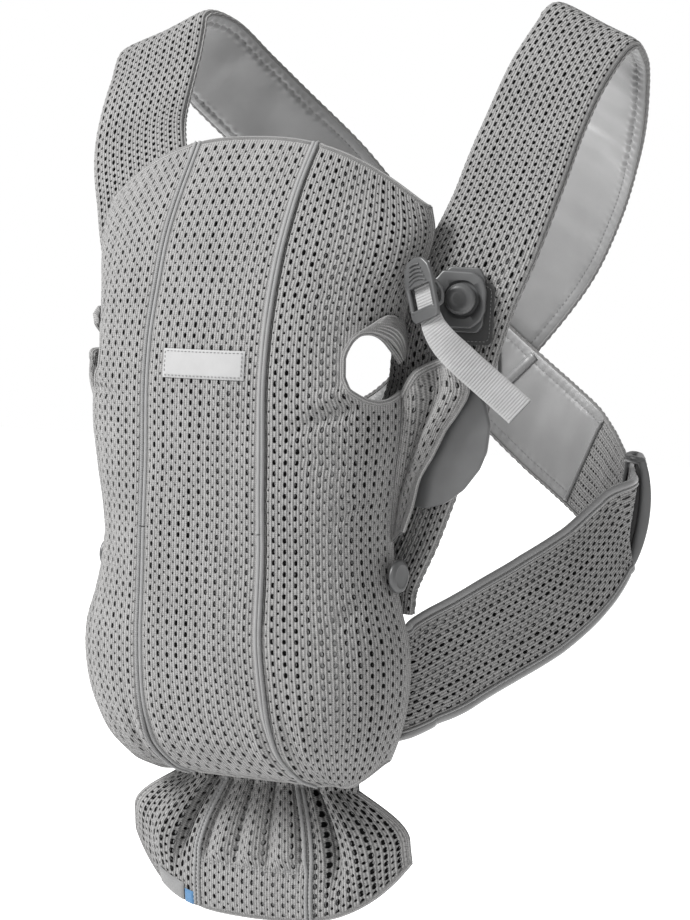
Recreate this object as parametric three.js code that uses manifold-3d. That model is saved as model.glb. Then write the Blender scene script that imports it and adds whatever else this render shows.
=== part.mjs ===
// A soft baby carrier, modelled as it hangs on a wearer's trunk: millimetres, +Z up, the front faces -Y.
// The origin is on the middle line, at the height of the seat crease and in the plane of the wearer's chest.
import * as THREE from "three";
import { mergeVertices } from "three/addons/utils/BufferGeometryUtils.js";
import Module from "manifold-3d";

const wasm = await Module();
wasm.setup();

// ---------------------------------------------------------------- driving dimensions
const GAP = 0.4; // clearance left between neighbouring layers
const COVER_T = 2.4; // spacer-mesh face of a strap
const PAD_T = 4.0; // foam inside a shoulder strap
const LINING_T = 1.2; // smooth woven face of a strap
const STRAP_W = 68; // shoulder strap
const BAND_W = 70; // waist band
const PANEL_T = 3.2; // front panel fabric
const SEAM_X = 43; // the two long seams of the front panel
const FOLD_Z = 270; // the line where the head support folds down
const KNOB_R = 9.1; // press button
const WEBBING_W = 19;
const WEBBING_T = 1.4;
const CREASE_Z = -4; // where the front panel and the hem flap hang from the yoke

// ---------------------------------------------------------------- small helpers
const V = (x, y, z) => new THREE.Vector3(x, y, z);
const mix = THREE.MathUtils.lerp;
const step = THREE.MathUtils.smoothstep;
const root = new THREE.Group();

// Materials: one short entry for each finish.
const finish = (color, roughness, metalness = 0) =>
  new THREE.MeshStandardMaterial({ color, roughness, metalness });
const MESH = finish(0xb4b4b2, 0.95);
const LINING = finish(0x8a8a89, 0.6);
const FOAM = finish(0xe6e4dc, 1.0);
const PLASTIC = finish(0x5d5e60, 0.42);
const WEBBING = finish(0xc9c9c6, 0.8);
const BACKING = finish(0x3b3c3d, 0.9);
const TAPE = finish(0xadadab, 0.85);
const LABEL = finish(0xd2d2cf, 0.7);
const DARK_LABEL = finish(0x6c6c6b, 0.7);
const ACCENT = finish(0x3f6e8c, 0.7);

function add(name, geometry, material) {
  const mesh = new THREE.Mesh(geometry, material);
  mesh.name = name;
  root.add(mesh);
  return mesh;
}

// A solid of manifold-3d from a closed three.js geometry, and back.
function toSolid(geometry) {
  const bare = geometry.clone();
  bare.deleteAttribute("normal");
  bare.deleteAttribute("uv");
  const merged = mergeVertices(bare, 1e-4);
  return new wasm.Manifold(
    new wasm.Mesh({
      numProp: 3,
      vertProperties: merged.attributes.position.array,
      triVerts: new Uint32Array(merged.index.array),
    }),
  );
}

function toGeometry(solid) {
  const mesh = solid.getMesh();
  const geometry = new THREE.BufferGeometry();
  geometry.setAttribute("position", new THREE.BufferAttribute(mesh.vertProperties, 3));
  geometry.setIndex(new THREE.BufferAttribute(mesh.triVerts, 1));
  return geometry;
}

// Interpolates a list of [key, value] rows, where value is a number or an array of numbers.
function table(rows) {
  return (at) => {
    let i = 0;
    while (i < rows.length - 2 && at > rows[i + 1][0]) i += 1;
    const [k0, a] = rows[i];
    const [k1, b] = rows[i + 1];
    const t = step(at, k0, k1) * 0.35 + THREE.MathUtils.clamp((at - k0) / (k1 - k0), 0, 1) * 0.65;
    return Array.isArray(a) ? a.map((value, j) => mix(value, b[j], t)) : mix(a, b, t);
  };
}

// A closed slab that follows surface(u, v), u and v from 0 to 1: thickness t, its middle pushed
// out along the surface's own normal by offset.
function slab(surface, nu, nv, t, offset = 0) {
  const e = 1e-3;
  const normal = (u, v) => {
    const u0 = Math.max(u - e, 0);
    const u1 = Math.min(u + e, 1);
    const v0 = Math.max(v - e, 0);
    const v1 = Math.min(v + e, 1);
    const du = surface(u1, v).sub(surface(u0, v));
    const dv = surface(u, v1).sub(surface(u, v0));
    return du.cross(dv).normalize();
  };
  const positions = [];
  for (const side of [0.5, -0.5])
    for (let j = 0; j <= nv; j += 1)
      for (let i = 0; i <= nu; i += 1) {
        const [u, v] = [i / nu, j / nv];
        const p = surface(u, v).addScaledVector(normal(u, v), offset + side * t);
        positions.push(p.x, p.y, p.z);
      }
  const at = (side, i, j) => side * (nu + 1) * (nv + 1) + j * (nu + 1) + i;
  const index = [];
  const quad = (a, b, c, d) => index.push(a, b, c, a, c, d);
  for (let j = 0; j < nv; j += 1)
    for (let i = 0; i < nu; i += 1) {
      quad(at(0, i, j), at(0, i + 1, j), at(0, i + 1, j + 1), at(0, i, j + 1));
      quad(at(1, i, j), at(1, i, j + 1), at(1, i + 1, j + 1), at(1, i + 1, j));
    }
  for (let i = 0; i < nu; i += 1) {
    quad(at(0, i, 0), at(1, i, 0), at(1, i + 1, 0), at(0, i + 1, 0));
    quad(at(0, i, nv), at(0, i + 1, nv), at(1, i + 1, nv), at(1, i, nv));
  }
  for (let j = 0; j < nv; j += 1) {
    quad(at(0, 0, j), at(0, 0, j + 1), at(1, 0, j + 1), at(1, 0, j));
    quad(at(0, nu, j), at(1, nu, j), at(1, nu, j + 1), at(0, nu, j + 1));
  }
  const geometry = new THREE.BufferGeometry();
  geometry.setAttribute("position", new THREE.Float32BufferAttribute(positions, 3));
  geometry.setIndex(index);
  return geometry;
}

// A ribbon surface along a smooth path. Each station is [centre, direction of the width, width].
// u runs across the ribbon and v along it; the surface normal is the ribbon's outer side.
function ribbon(stations, from = 0, to = 1) {
  const path = new THREE.CatmullRomCurve3(stations.map((s) => s[0]), false, "centripetal");
  const last = stations.length - 1;
  return (u, v) => {
    const at = mix(from, to, v);
    const centre = path.getPoint(at);
    const tangent = path.getTangent(at);
    const k = Math.min(Math.floor(at * last), last - 1);
    const t = at * last - k;
    const across = stations[k][1].clone().lerp(stations[k + 1][1], t);
    across.addScaledVector(tangent, -across.dot(tangent)).normalize();
    const width = mix(stations[k][2], stations[k + 1][2], t);
    return centre.addScaledVector(across, (u - 0.5) * width);
  };
}

const flipU = (surface) => (u, v) => surface(1 - u, v);

// ---------------------------------------------------------------- harness straps
// side is 1 on the wearer's left, at +X, and -1 at -X. The two chest straps hang differently:
// the one at +X is drawn outwards by the clasp that the head support is fastened to.
const CROSS_LIFT = 3.8; // one strap passes this far outside the other at the back crossing
const BAND_SAG = 15; // the band that runs to the buckle at -X hangs this much lower

const chestStations = (side) =>
  side > 0
    ? [
        [V(66, 32, 105), V(1, 0, 0), STRAP_W],
        [V(68, 34, 125), V(1, 0, 0), STRAP_W],
        [V(83, 37, 160), V(1, 0, 0), STRAP_W],
        [V(99, 38, 200), V(1, 0, 0), STRAP_W],
        [V(117, 35, 236), V(1, 0.1, 0), STRAP_W],
        [V(127, 31, 266), V(1, 0.2, -0.05), STRAP_W],
        [V(139, 31, 300), V(1, 0.2, -0.1), STRAP_W],
        [V(147, 41, 329), V(1, 0.15, -0.12), STRAP_W],
        [V(147, 62, 357), V(1, 0, -0.15), STRAP_W],
      ]
    : [
        [V(-66, 32, 105), V(-1, 0, 0), STRAP_W],
        [V(-67, 34, 125), V(-1, 0, 0), STRAP_W],
        [V(-71, 37, 155), V(-1, 0, 0), STRAP_W],
        [V(-78, 38, 192), V(-1, 0, 0), STRAP_W],
        [V(-87, 38, 235), V(-1, 0, 0), STRAP_W],
        [V(-93, 39, 272), V(-1, 0, 0), STRAP_W],
        [V(-99, 41, 302), V(-1, 0, 0), STRAP_W],
        [V(-110, 50, 330), V(-1, 0, -0.1), STRAP_W],
        [V(-126, 68, 360), V(-1, 0, -0.15), STRAP_W],
      ];
const sag = (side, share) => (side > 0 ? BAND_SAG * share : 0);
// One strap from the yoke up the chest, over the shoulder, across the back to the other side's buckle.
const strapStations = (side) => [
  ...chestStations(side),
  [V(146 * side, 94, 395), V(side, -0.06, -0.2), STRAP_W],
  [V(153 * side, 121, 436), V(side, -0.12, -0.3), STRAP_W],
  [V(160 * side, 146, 460), V(side, -0.2, -0.42), STRAP_W],
  [V(155 * side, 176, 454), V(side, -0.1, -0.5), STRAP_W],
  [V(143 * side, 202, 430), V(side, -0.05, -0.65), STRAP_W],
  [V(127 * side, 226, 404), V(side, 0, -0.75), STRAP_W],
  [V(100 * side, 256 + side, 366), V(side, 0, -0.8), STRAP_W],
  [V(66 * side, 277 + side * CROSS_LIFT, 320), V(side, 0, -0.8), STRAP_W - 2],
  [V(32 * side, 282 + side * CROSS_LIFT, 280), V(side, 0, -0.8), STRAP_W - 4],
  [V(0, 282.5 + side * CROSS_LIFT, 248), V(side, 0, -0.95), STRAP_W - 4],
  [V(-32 * side, 281 + side * CROSS_LIFT, 222 - sag(side, 0.5)), V(side, 0, -1.2), STRAP_W - 2],
  [V(-64 * side, 275 + side * CROSS_LIFT, 200 - sag(side, 1)), V(side, 0, -1.5), STRAP_W],
  [V(-92 * side, 262 + side, 184 - sag(side, 0.8)), V(side * 0.8, 0, -1.7), STRAP_W],
  [V(-116 * side, 246, 170 - sag(side, 0.3)), V(side * 0.5, 0, -1.8), STRAP_W - 2],
  [V(-136 * side, 231, 159), V(side * 0.13, 0.06, -1), STRAP_W - 6],
];
const STRAP_LAST = strapStations(1).length - 1;
const CHEST_END = 4.6; // the chest strap's seam, counted in stations
const PAD_END = 14.6; // the pad ends before the crossing

// From the back band through the buckle and forward round the waist to the yoke.
const SLIDE = V(0.49, -0.86, -0.08).normalize(); // the straight stretch in the +X buckle
const BUCKLE = V(158, 202, 151);
const mirrored = (v, side) => V(v.x * side, v.y, v.z);
const waistStations = (side) => {
  const straight = [-28, -20, -10, 0, 10, 20, 30].map((d) => [
    mirrored(BUCKLE.clone().addScaledVector(SLIDE, d), side),
    V(0.13 * side, 0.08, 1),
    60,
  ]);
  return [
    ...straight,
    [V(170 * side, 163, 142), V(0.05 * side, 0, 1), 60],
    [V(161 * side, 140, 122), V(0, 0, 1), 64],
    [V(146 * side, 112, 103), V(0, 0, 1), BAND_W],
    [V(130 * side, 82, 88), V(0, 0, 1), BAND_W],
    [V(116 * side, 54, 75), V(0, 0, 1), BAND_W],
    [V(106 * side, 40, 67), V(0, 0, 1), BAND_W - 3],
    [V(102.3 * side, 35, 64), V(0, 0, 1), BAND_W - 6],
  ];
};

function harness(side, name) {
  // Ribbons run so that their normal points away from the wearer on both sides.
  const outward = (surface) => (side > 0 ? surface : flipU(surface));
  const strap = (from, to) => outward(ribbon(strapStations(side), from / STRAP_LAST, to / STRAP_LAST));
  const coverUp = PAD_T / 2 + GAP + COVER_T / 2;
  const liningDown = -(PAD_T / 2 + GAP + LINING_T / 2);
  const chest = strap(0, CHEST_END - 0.03);
  const shoulder = strap(CHEST_END + 0.03, PAD_END - 0.04);
  const back = strap(PAD_END + 0.04, STRAP_LAST);
  add(`chest_strap_cover_${name}`, slab(chest, 2, 10, COVER_T, coverUp), MESH);
  add(`chest_strap_lining_${name}`, slab(chest, 2, 10, PAD_T, 0), LINING);
  add(`shoulder_cover_${name}`, slab(shoulder, 2, 22, COVER_T, coverUp), MESH);
  add(`shoulder_pad_${name}`, slab(shoulder, 2, 22, PAD_T, 0), FOAM);
  add(`shoulder_lining_${name}`, slab(shoulder, 2, 22, LINING_T, liningDown), LINING);
  const other = side > 0 ? "left" : "right";
  add(`back_band_cover_${other}`, slab(back, 2, 16, COVER_T, COVER_T / 2 + GAP / 2), MESH);
  add(`back_band_lining_${other}`, slab(back, 2, 16, LINING_T, -(LINING_T + GAP) / 2), LINING);
  const waist = outward(ribbon(waistStations(side), 0.02, 1));
  add(`waist_band_${name}`, slab(waist, 2, 26, COVER_T, 0), MESH);
}
harness(1, "right");
harness(-1, "left");

// A rounded rectangle, w wide and h tall, and a plate of it t thick with its back at y = 0.
function roundedRect(w, h, r, holes = []) {
  const shape = new THREE.Shape();
  const [x, y] = [w / 2, h / 2];
  shape.moveTo(-x + r, -y);
  shape.lineTo(x - r, -y);
  shape.absarc(x - r, -y + r, r, -Math.PI / 2, 0);
  shape.absarc(x - r, y - r, r, 0, Math.PI / 2);
  shape.absarc(-x + r, y - r, r, Math.PI / 2, Math.PI);
  shape.absarc(-x + r, -y + r, r, Math.PI, Math.PI * 1.5);
  shape.holes.push(...holes);
  return shape;
}
const circleHole = (r) => {
  const hole = new THREE.Path();
  hole.absarc(0, 0, r, 0, Math.PI * 2, true);
  return hole;
};
function plate(shape, t, curveSegments = 3) {
  const geometry = new THREE.ExtrudeGeometry(shape, { depth: t, bevelEnabled: false, curveSegments });
  return geometry.rotateX(Math.PI / 2); // the shape's x and y become x and z, the front at y = -t
}

// Seat yoke: the stiff double layer at the crease, its flat back face against the wearer.
const YOKE = { top: 101, bottom: -3, back: 38, t: 11, topHalf: 93, bottomHalf: 84 };
{
  const shape = new THREE.Shape();
  shape.moveTo(-YOKE.bottomHalf, YOKE.bottom);
  shape.lineTo(YOKE.bottomHalf, YOKE.bottom);
  shape.lineTo(YOKE.topHalf, 30);
  shape.lineTo(YOKE.topHalf, YOKE.top);
  shape.lineTo(-YOKE.topHalf, YOKE.top);
  shape.lineTo(-YOKE.topHalf, 30);
  add("seat_yoke", plate(shape, YOKE.t).translate(0, YOKE.back, 0), LINING);
}
add(
  "back_cross_patch",
  plate(roundedRect(46, 42, 4), 1.4).translate(0, 282.5 - CROSS_LIFT - 3.4, 248),
  LINING,
);

// ---------------------------------------------------------------- front panel and head support
// Each row gives the half width, the y of the side edges and the y of the middle of the front.
const PANEL_N = 2.6; // how square the panel's section is
const panelRow = table([
  [-4, [84, 15, 4]],
  [2, [88, 13, -14]],
  [9, [93, 11, -26]],
  [20, [100, 9, -39]],
  [36, [107, 8, -48]],
  [65, [113, 7, -55]],
  [91, [112, 7, -56.5]],
  [111, [106, 8, -55.5]],
  [133, [101, 9, -54.5]],
  [163, [100, 9, -53]],
  [190, [104, 8, -52]],
  [220, [108, 8, -51]],
  [250, [107, 9, -49.5]],
  [270, [105, 12, -47]],
]);
const HEAD = { bottom: 272, top: 394, drop: 42 };
const headRow = table([
  [0, [105, 12, -46.5]],
  [0.25, [108, 14.5, -38]],
  [0.5, [115, 22, -26]],
  [0.75, [119, 25, -9]],
  [1, [117, 25, 12]],
]);
const section = ([w, edge, front], u) => {
  const a = (u - 0.5) * Math.PI;
  const x = Math.sign(a) * w * Math.pow(Math.abs(Math.sin(a)), 2 / PANEL_N);
  return [x, edge - (edge - front) * Math.pow(Math.cos(a), 2 / PANEL_N)];
};
const ARM = { inner: 62, outer: 76, depth: 31 }; // the arm hole cuts down into the panel's top corners
const panelTop = (x) => FOLD_Z - 2 - ARM.depth * step(Math.abs(x), ARM.inner, ARM.outer);
const strip = (low, high) => (u, v) => {
  const k = mix(0.002, 0.998, u);
  const x0 = section(panelRow(high > 200 ? 220 : low), k)[0];
  const z = mix(low, high > 200 ? panelTop(x0) : high, v);
  const [x, y] = section(panelRow(z), k);
  return V(x, y, z);
};
const headSurface = (u, v) => {
  const [x, y] = section(headRow(v), mix(0.002, 0.998, u));
  const drop = HEAD.drop * Math.pow(v, 1.5) * Math.pow(Math.abs(x) / headRow(v)[0], 2.4);
  return V(x, y, mix(HEAD.bottom, HEAD.top, v) - drop);
};
const SEAT_TOP = 50;
add("seat_panel", slab(strip(CREASE_Z, SEAT_TOP), 20, 6, PANEL_T), MESH);
add("front_panel", slab(strip(SEAT_TOP + 3, FOLD_Z), 24, 10, PANEL_T), MESH);
add("head_support", slab(headSurface, 20, 8, PANEL_T), MESH);

// A strip on the panel or the head support, as a slab that stands off its front.
function patchOn(surfaceAt, x0, x1, z0, z1, t, offset, nu = 3, nv = 14) {
  return slab((u, v) => surfaceAt(mix(x0(v), x1(v), u), mix(z0, z1, v)), nu, nv, t, offset);
}
const uFor = (x, w) =>
  0.5 + (Math.sign(x) * Math.asin(Math.pow(Math.min(Math.abs(x) / w, 1), PANEL_N / 2))) / Math.PI;
const onPanel = (x, z) => {
  const row = panelRow(z);
  return V(x, section(row, uFor(x, row[0]))[1], z);
};
const onHead = (x, z) => {
  const v = THREE.MathUtils.clamp((z - HEAD.bottom) / (HEAD.top - HEAD.bottom), 0, 1);
  const row = headRow(v);
  const drop = HEAD.drop * Math.pow(v, 1.5) * Math.pow(Math.abs(x) / row[0], 2.4);
  return V(x, section(row, uFor(x, row[0]))[1], z - drop);
};
const TAPE_W = 5;
const tapeUp = PANEL_T / 2 + GAP + 0.5;
for (const [side, name] of [[1, "right"], [-1, "left"]]) {
  const x = (z) => side * mix(47, SEAM_X, step(z, 0, 120)) ;
  const edges = (z0, z1) => [
    (v) => x(mix(z0, z1, v)) - TAPE_W / 2,
    (v) => x(mix(z0, z1, v)) + TAPE_W / 2,
    z0,
    z1,
  ];
  add(`seat_seam_${name}`, patchOn(onPanel, ...edges(6, SEAT_TOP - 1), 0.9, tapeUp + 0.5, 1, 6), TAPE);
  add(`panel_seam_${name}`, patchOn(onPanel, ...edges(SEAT_TOP + 4, 266), 0.9, tapeUp + 0.3, 1, 12), TAPE);
  add(`head_seam_${name}`, patchOn(onHead, ...edges(HEAD.bottom + 2, 392), 0.9, tapeUp + 0.4, 1, 10), TAPE);
}
const LABEL_BOX = { x0: -28, x1: 30.5, z0: 248.5, z1: 266 };
add(
  "front_label",
  patchOn(onPanel, () => LABEL_BOX.x0, () => LABEL_BOX.x1, LABEL_BOX.z0, LABEL_BOX.z1, 0.9, tapeUp + 0.1, 4, 2),
  LABEL,
);

// Side wings: the fabric that runs from the panel's edge out to the side clasp.
function wing(side, tip, foot) {
  const surface = (u, v) => {
    const z = mix(150, 236, v);
    const [w, edge] = panelRow(z);
    const root = V(w + 2.4, edge - 3, z);
    const end = V(mix(foot.x, tip.x, v), mix(foot.y, tip.y, v), mix(foot.z, tip.z, v));
    const p = root.lerp(end, u);
    p.y -= 5 * Math.sin(Math.PI * u) * v;
    p.z += 12 * Math.sin(Math.PI * u * 0.8) * v * v;
    return V(p.x * side, p.y, p.z);
  };
  return slab(side > 0 ? surface : flipU(surface), 5, 6, PANEL_T - 0.4);
}
add("side_wing_right", wing(1, V(151, 14, 244), V(109, 8, 150)), MESH);
add("side_wing_left", wing(-1, V(128, 15, 244), V(109, 8, 150)), MESH);

// ---------------------------------------------------------------- hem flap
const FLAP = { top: -9.5, topY: 19, half: 103, topHalf: 68, low: -92, cornerRise: 42 };
const flapPoint = (x01, v) => {
  const half = mix(FLAP.topHalf, FLAP.half, Math.sin(Math.min(v * 1.5, 1) * Math.PI * 0.5));
  const low = FLAP.low + FLAP.cornerRise * Math.pow(Math.abs(x01), 3.5);
  const y = FLAP.topY - 17 * Math.sin(Math.PI * 0.62 * v) * (1 - x01 * x01) + 6 * Math.abs(x01) ** 3 * v;
  return V(x01 * half, y, mix(FLAP.top, low, v));
};
const flapSurface = (u, v) => flapPoint(2 * u - 1, 1 - v);
add("hem_flap", slab(flapSurface, 18, 7, 3), MESH);
for (const [side, name] of [[1, "right"], [-1, "left"]]) {
  const seam = (u, v) => flapPoint(side * 0.405 + ((u - 0.5) * TAPE_W) / FLAP.half, mix(0.97, 0.04, v));
  add(`flap_seam_${name}`, slab(seam, 1, 7, 0.9, 1.9 + GAP + 0.5), TAPE);
}
const tab = (x01, w, v0, v1) => (u, v) => flapPoint(x01 + ((u - 0.5) * w) / FLAP.half, mix(v1, v0, v));
add("care_tab", slab(tab(-0.62, 22, 0.86, 0.99), 2, 1, 0.8, 1.7 + GAP + 0.4), DARK_LABEL);
add("accent_tab", slab(tab(-0.47, 7, 0.9, 1.0), 1, 1, 0.8, 1.7 + GAP + 0.4), ACCENT);

// ---------------------------------------------------------------- head support clasps
function box(w, d, h, x, y, z) {
  return new THREE.BoxGeometry(w, d, h).translate(x, y, z);
}
const joinAll = (geometries) => toGeometry(geometries.map(toSolid).reduce((a, b) => a.add(b)));
const cut = (geometry, tools) =>
  toGeometry(tools.map(toSolid).reduce((a, b) => a.subtract(b), toSolid(geometry)));
const rod = (r, length, segments = 16) => new THREE.CylinderGeometry(r, r, length, segments);
const lathe = (profile, segments = 24) =>
  new THREE.LatheGeometry(profile.map(([r, y]) => new THREE.Vector2(r, y)), segments);

const CLASP = { patch: 6.6, base: 8.6, plate: 12.2, head: 17.8 }; // heights above the strap's middle
function dShape() {
  const shape = new THREE.Shape();
  shape.moveTo(-16, -13.5);
  shape.quadraticCurveTo(-15, -17, -11, -17.5);
  shape.lineTo(6, -17.5);
  shape.quadraticCurveTo(13.8, -14.5, 14.5, -6);
  shape.lineTo(14.5, 7);
  shape.quadraticCurveTo(13, 14.5, 6.5, 17);
  shape.lineTo(-12, 17.5);
  shape.quadraticCurveTo(-16, 17, -16.5, 13.5);
  shape.lineTo(-24, 9);
  shape.quadraticCurveTo(-26, 8, -26, 5);
  shape.lineTo(-26, -5);
  shape.quadraticCurveTo(-26, -8, -24, -9);
  shape.holes.push(circleHole(5.6));
  return shape;
}
function clasp(side, name, centre, azimuth, lean) {
  const group = new THREE.Group();
  group.position.copy(centre);
  group.rotation.set(THREE.MathUtils.degToRad(lean), 0, THREE.MathUtils.degToRad(azimuth));
  root.add(group);
  const put = (node, geometry, material) => {
    const mesh = add(node, geometry, material);
    group.add(mesh);
  };
  put(`clip_backing_${name}`, plate(roundedRect(36, 37, 3), 1.4).translate(0, -CLASP.patch + 1.4, -8), BACKING);
  const bore = rod(3.6, 12, 20).translate(0, -CLASP.base, 0);
  const base = plate(roundedRect(25, 39, 5), 3).translate(0, -CLASP.base + 1.4, 0);
  put(`clip_base_${name}`, cut(base, [bore]), PLASTIC);
  const d = plate(dShape(), 3.8, 4);
  if (side < 0) d.rotateY(Math.PI);
  const recess = rod(10.6, 4, 24).translate(0, -4.9, 0);
  put(`clip_plate_${name}`, cut(d, [recess]).translate(0, -CLASP.plate + 1.6, 0), PLASTIC);
  // The button's head, dished in front, on a stem that runs down into the base.
  const button = lathe([[0, 8.2], [3, 8.2], [3, 16.2], [KNOB_R - 0.6, 16.2], [KNOB_R, 16.8],
    [KNOB_R, 18.4], [7.2, 20.6], [4.4, 21.2], [3.6, 20.8], [0, 20.8]]);
  put(`head_button_${name}`, button.rotateX(Math.PI).translate(0, 0, 0), PLASTIC);
}
clasp(1, "right", V(140, 29.8, 296), 14, -6);
clasp(-1, "left", V(-94, 38.6, 296), -2, -8);

// ---------------------------------------------------------------- ladder locks and their webbing
// The webbing runs straight through the lock, behind the face and in front of the cross bar.
function lockGeometry() {
  const outline = new THREE.Shape();
  outline.moveTo(-13, -15);
  outline.quadraticCurveTo(-13, -18.5, -9, -19);
  outline.lineTo(9, -19);
  outline.quadraticCurveTo(13, -18.5, 13, -15);
  outline.lineTo(13, 8);
  outline.quadraticCurveTo(12, 19, 0, 19.5);
  outline.quadraticCurveTo(-12, 19, -13, 8);
  const window = new THREE.Path();
  window.moveTo(-10.4, -12);
  window.lineTo(-10.4, 2);
  window.lineTo(10.4, 2);
  window.lineTo(10.4, -12);
  outline.holes.push(window);
  const pieces = [plate(outline, 2.6, 5).translate(0, -1.2, 0)];
  for (const x of [-11.9, 11.9]) pieces.push(box(2.2, 6.6, 15, x, -0.5, -5));
  pieces.push(box(26, 1.9, 4.4, 0, 2.15, -5));
  for (let i = 0; i < 4; i += 1) pieces.push(box(15 - i, 1.6, 1.3, 0, -4.1, 7 + 2.6 * i));
  return joinAll(pieces);
}
function lock(side, name, centre, azimuth, tilt, tail) {
  const group = new THREE.Group();
  group.position.copy(centre);
  const [z, y] = [azimuth, tilt].map(THREE.MathUtils.degToRad);
  group.rotation.set(0, y, z, "ZYX");
  root.add(group);
  group.add(add(`ladder_lock_${name}`, lockGeometry(), PLASTIC));
  const surface = ribbon(tail.map(([x, y1, z1, ax, ay, az]) => [V(x, y1, z1), V(ax, ay, az), WEBBING_W]));
  group.add(add(`head_webbing_${name}`, slab((u, v) => surface(u, 1 - v), 1, 2 * (tail.length - 1), WEBBING_T), WEBBING));
}
lock(1, "right", V(129.6, -4.2, 304), -20, -18, [
  [0, 0, 15, 1, 0, 0], [0, 0, 8, 1, 0, 0], [0, 0, 0, 1, 0, 0], [0, 0, -8, 1, 0, 0], [0, 0, -15, 1, 0, 0],
  [1.2, 0.6, -24, 1, 0.15, 0.03], [4, 3.6, -34, 0.93, 0.4, 0.12], [8.6, 9.5, -45.5, 0.72, 0.62, 0.3],
  [14.4, 16.5, -58, 0.63, 0.68, 0.38], [21.6, 22.9, -71, 0.61, 0.67, 0.43], [29.8, 28.3, -84.3, 0.6, 0.65, 0.45],
]);
lock(-1, "left", V(-90, 15, 332), 0, 0, [
  [0, 0, 15, 1, 0, 0], [0, 0, 8, 1, 0, 0], [0, 0, 0, 1, 0, 0], [0, 0, -8, 1, 0, 0], [0, 0, -15, 1, 0, 0],
  [0, 0, -25, 1, 0, 0], [0, -1, -41, 1, 0, 0], [0, -2, -57, 1, 0, 0], [0, -3, -72, 1, 0, 0],
]);

// ---------------------------------------------------------------- side clasps
// A half-moon plate that turns on a riveted base, in front of the chest strap.
const PIVOT = { r: 2.6, hole: 2.9, head: 4.6 };
function sideClasp(side, name, centre, lean, tilt, azimuth) {
  const group = new THREE.Group();
  group.position.copy(centre);
  const [x, y, z] = [lean, tilt * side, azimuth * side].map(THREE.MathUtils.degToRad);
  group.rotation.set(x, y, z, "XYZ");
  root.add(group);
  const moon = new THREE.Shape();
  moon.moveTo(-14, -44);
  moon.bezierCurveTo(2, -46, 27, -24, 28, 0);
  moon.bezierCurveTo(28, 22, 18, 43, 0, 45);
  moon.quadraticCurveTo(-12, 44, -14, 34);
  moon.holes.push(circleHole(PIVOT.hole));
  const toggle = plate(moon, 3.2, 7);
  const pin = (r, length, y1) => rod(r, length, 18).translate(0, y1, 0);
  const base = joinAll([pin(11, 1.8, 1.3), pin(PIVOT.r, 5.6, -1.2), pin(PIVOT.head, 1.2, -4.2)]);
  if (side < 0) toggle.rotateY(Math.PI).rotateX(0);
  group.add(add(`side_toggle_${name}`, toggle, PLASTIC));
  group.add(add(`toggle_base_${name}`, base, PLASTIC));
}
sideClasp(1, "right", V(129.5, 25, 207), 2, 16, 8);
sideClasp(-1, "left", V(-104, 27, 207), 0, 4, 6);

// ---------------------------------------------------------------- leg buttons
for (const [side, name] of [[1, "right"], [-1, "left"]]) {
  const button = lathe([[0, 0], [4, 0], [4, 2.2], [9.6, 2.2], [10, 2.8], [10, 4.6], [8.6, 6], [0, 6.2]]);
  button.rotateZ((-side * Math.PI) / 2).translate(side * 104.3, side > 0 ? 2.5 : 5, 130);
  add(`leg_button_${name}`, button, PLASTIC);
}

// ---------------------------------------------------------------- waist buckles
// A long frame: two rails outside the band, one bar inside it, joined by the ends.
function buckleGeometry() {
  const pieces = [];
  for (const x of [-10, 10]) pieces.push(box(5, 3.4, 79, x, -3.7, 0));
  pieces.push(box(6, 3, 79, 0, 3.5, 0));
  for (const z of [-36.5, 36.5]) pieces.push(box(25, 10.4, 6, 0, -0.2, z));
  return joinAll(pieces);
}
for (const [side, name] of [[1, "right"], [-1, "left"]]) {
  const mesh = add(`waist_buckle_${name}`, buckleGeometry(), PLASTIC);
  const along = SLIDE.clone();
  const up = V(0.13, 0.08, 1).addScaledVector(along, -V(0.13, 0.08, 1).dot(along)).normalize();
  const inward = up.clone().cross(along); // the frame's local y
  if (inward.x > 0) inward.negate();
  const m = new THREE.Matrix4().makeBasis(along.clone().negate(), inward, up);
  if (m.determinant() < 0) m.makeBasis(along, inward, up);
  const g = mesh.geometry.applyMatrix4(m).translate(BUCKLE.x, BUCKLE.y, BUCKLE.z);
  if (side < 0) {
    const flip = toSolid(g).rotate([0, 0, 0]).mirror([1, 0, 0]);
    mesh.geometry = toGeometry(flip);
  }
}

export default root;
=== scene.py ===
"""A soft baby carrier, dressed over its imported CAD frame: open spacer mesh, satin linings, moulded clasps."""
import math

import bmesh
import bpy
import numpy as np
from mathutils import Matrix, Vector


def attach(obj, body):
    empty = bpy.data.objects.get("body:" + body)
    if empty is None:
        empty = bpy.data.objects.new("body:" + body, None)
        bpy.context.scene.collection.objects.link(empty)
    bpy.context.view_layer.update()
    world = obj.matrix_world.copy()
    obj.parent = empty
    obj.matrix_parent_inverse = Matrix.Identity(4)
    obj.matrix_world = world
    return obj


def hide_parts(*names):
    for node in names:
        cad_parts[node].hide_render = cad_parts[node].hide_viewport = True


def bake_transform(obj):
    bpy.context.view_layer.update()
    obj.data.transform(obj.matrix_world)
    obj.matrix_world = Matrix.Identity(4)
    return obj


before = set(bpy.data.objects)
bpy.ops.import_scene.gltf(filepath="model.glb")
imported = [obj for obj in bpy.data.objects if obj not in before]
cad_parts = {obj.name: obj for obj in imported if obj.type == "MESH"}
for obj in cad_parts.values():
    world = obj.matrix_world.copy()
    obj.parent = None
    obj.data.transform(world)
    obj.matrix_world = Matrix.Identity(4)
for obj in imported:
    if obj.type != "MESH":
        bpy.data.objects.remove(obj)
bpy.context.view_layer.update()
MM = 0.001

# ------------------------------------------------------------------ camera and light
AZIMUTH, ELEVATION, DISTANCE = math.radians(32.0), math.radians(5.5), 2.2
TARGET = Vector((0.0, 0.1144, 0.186))
FOCAL_PX = 3410.0  # for an image 920 pixels tall


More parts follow.
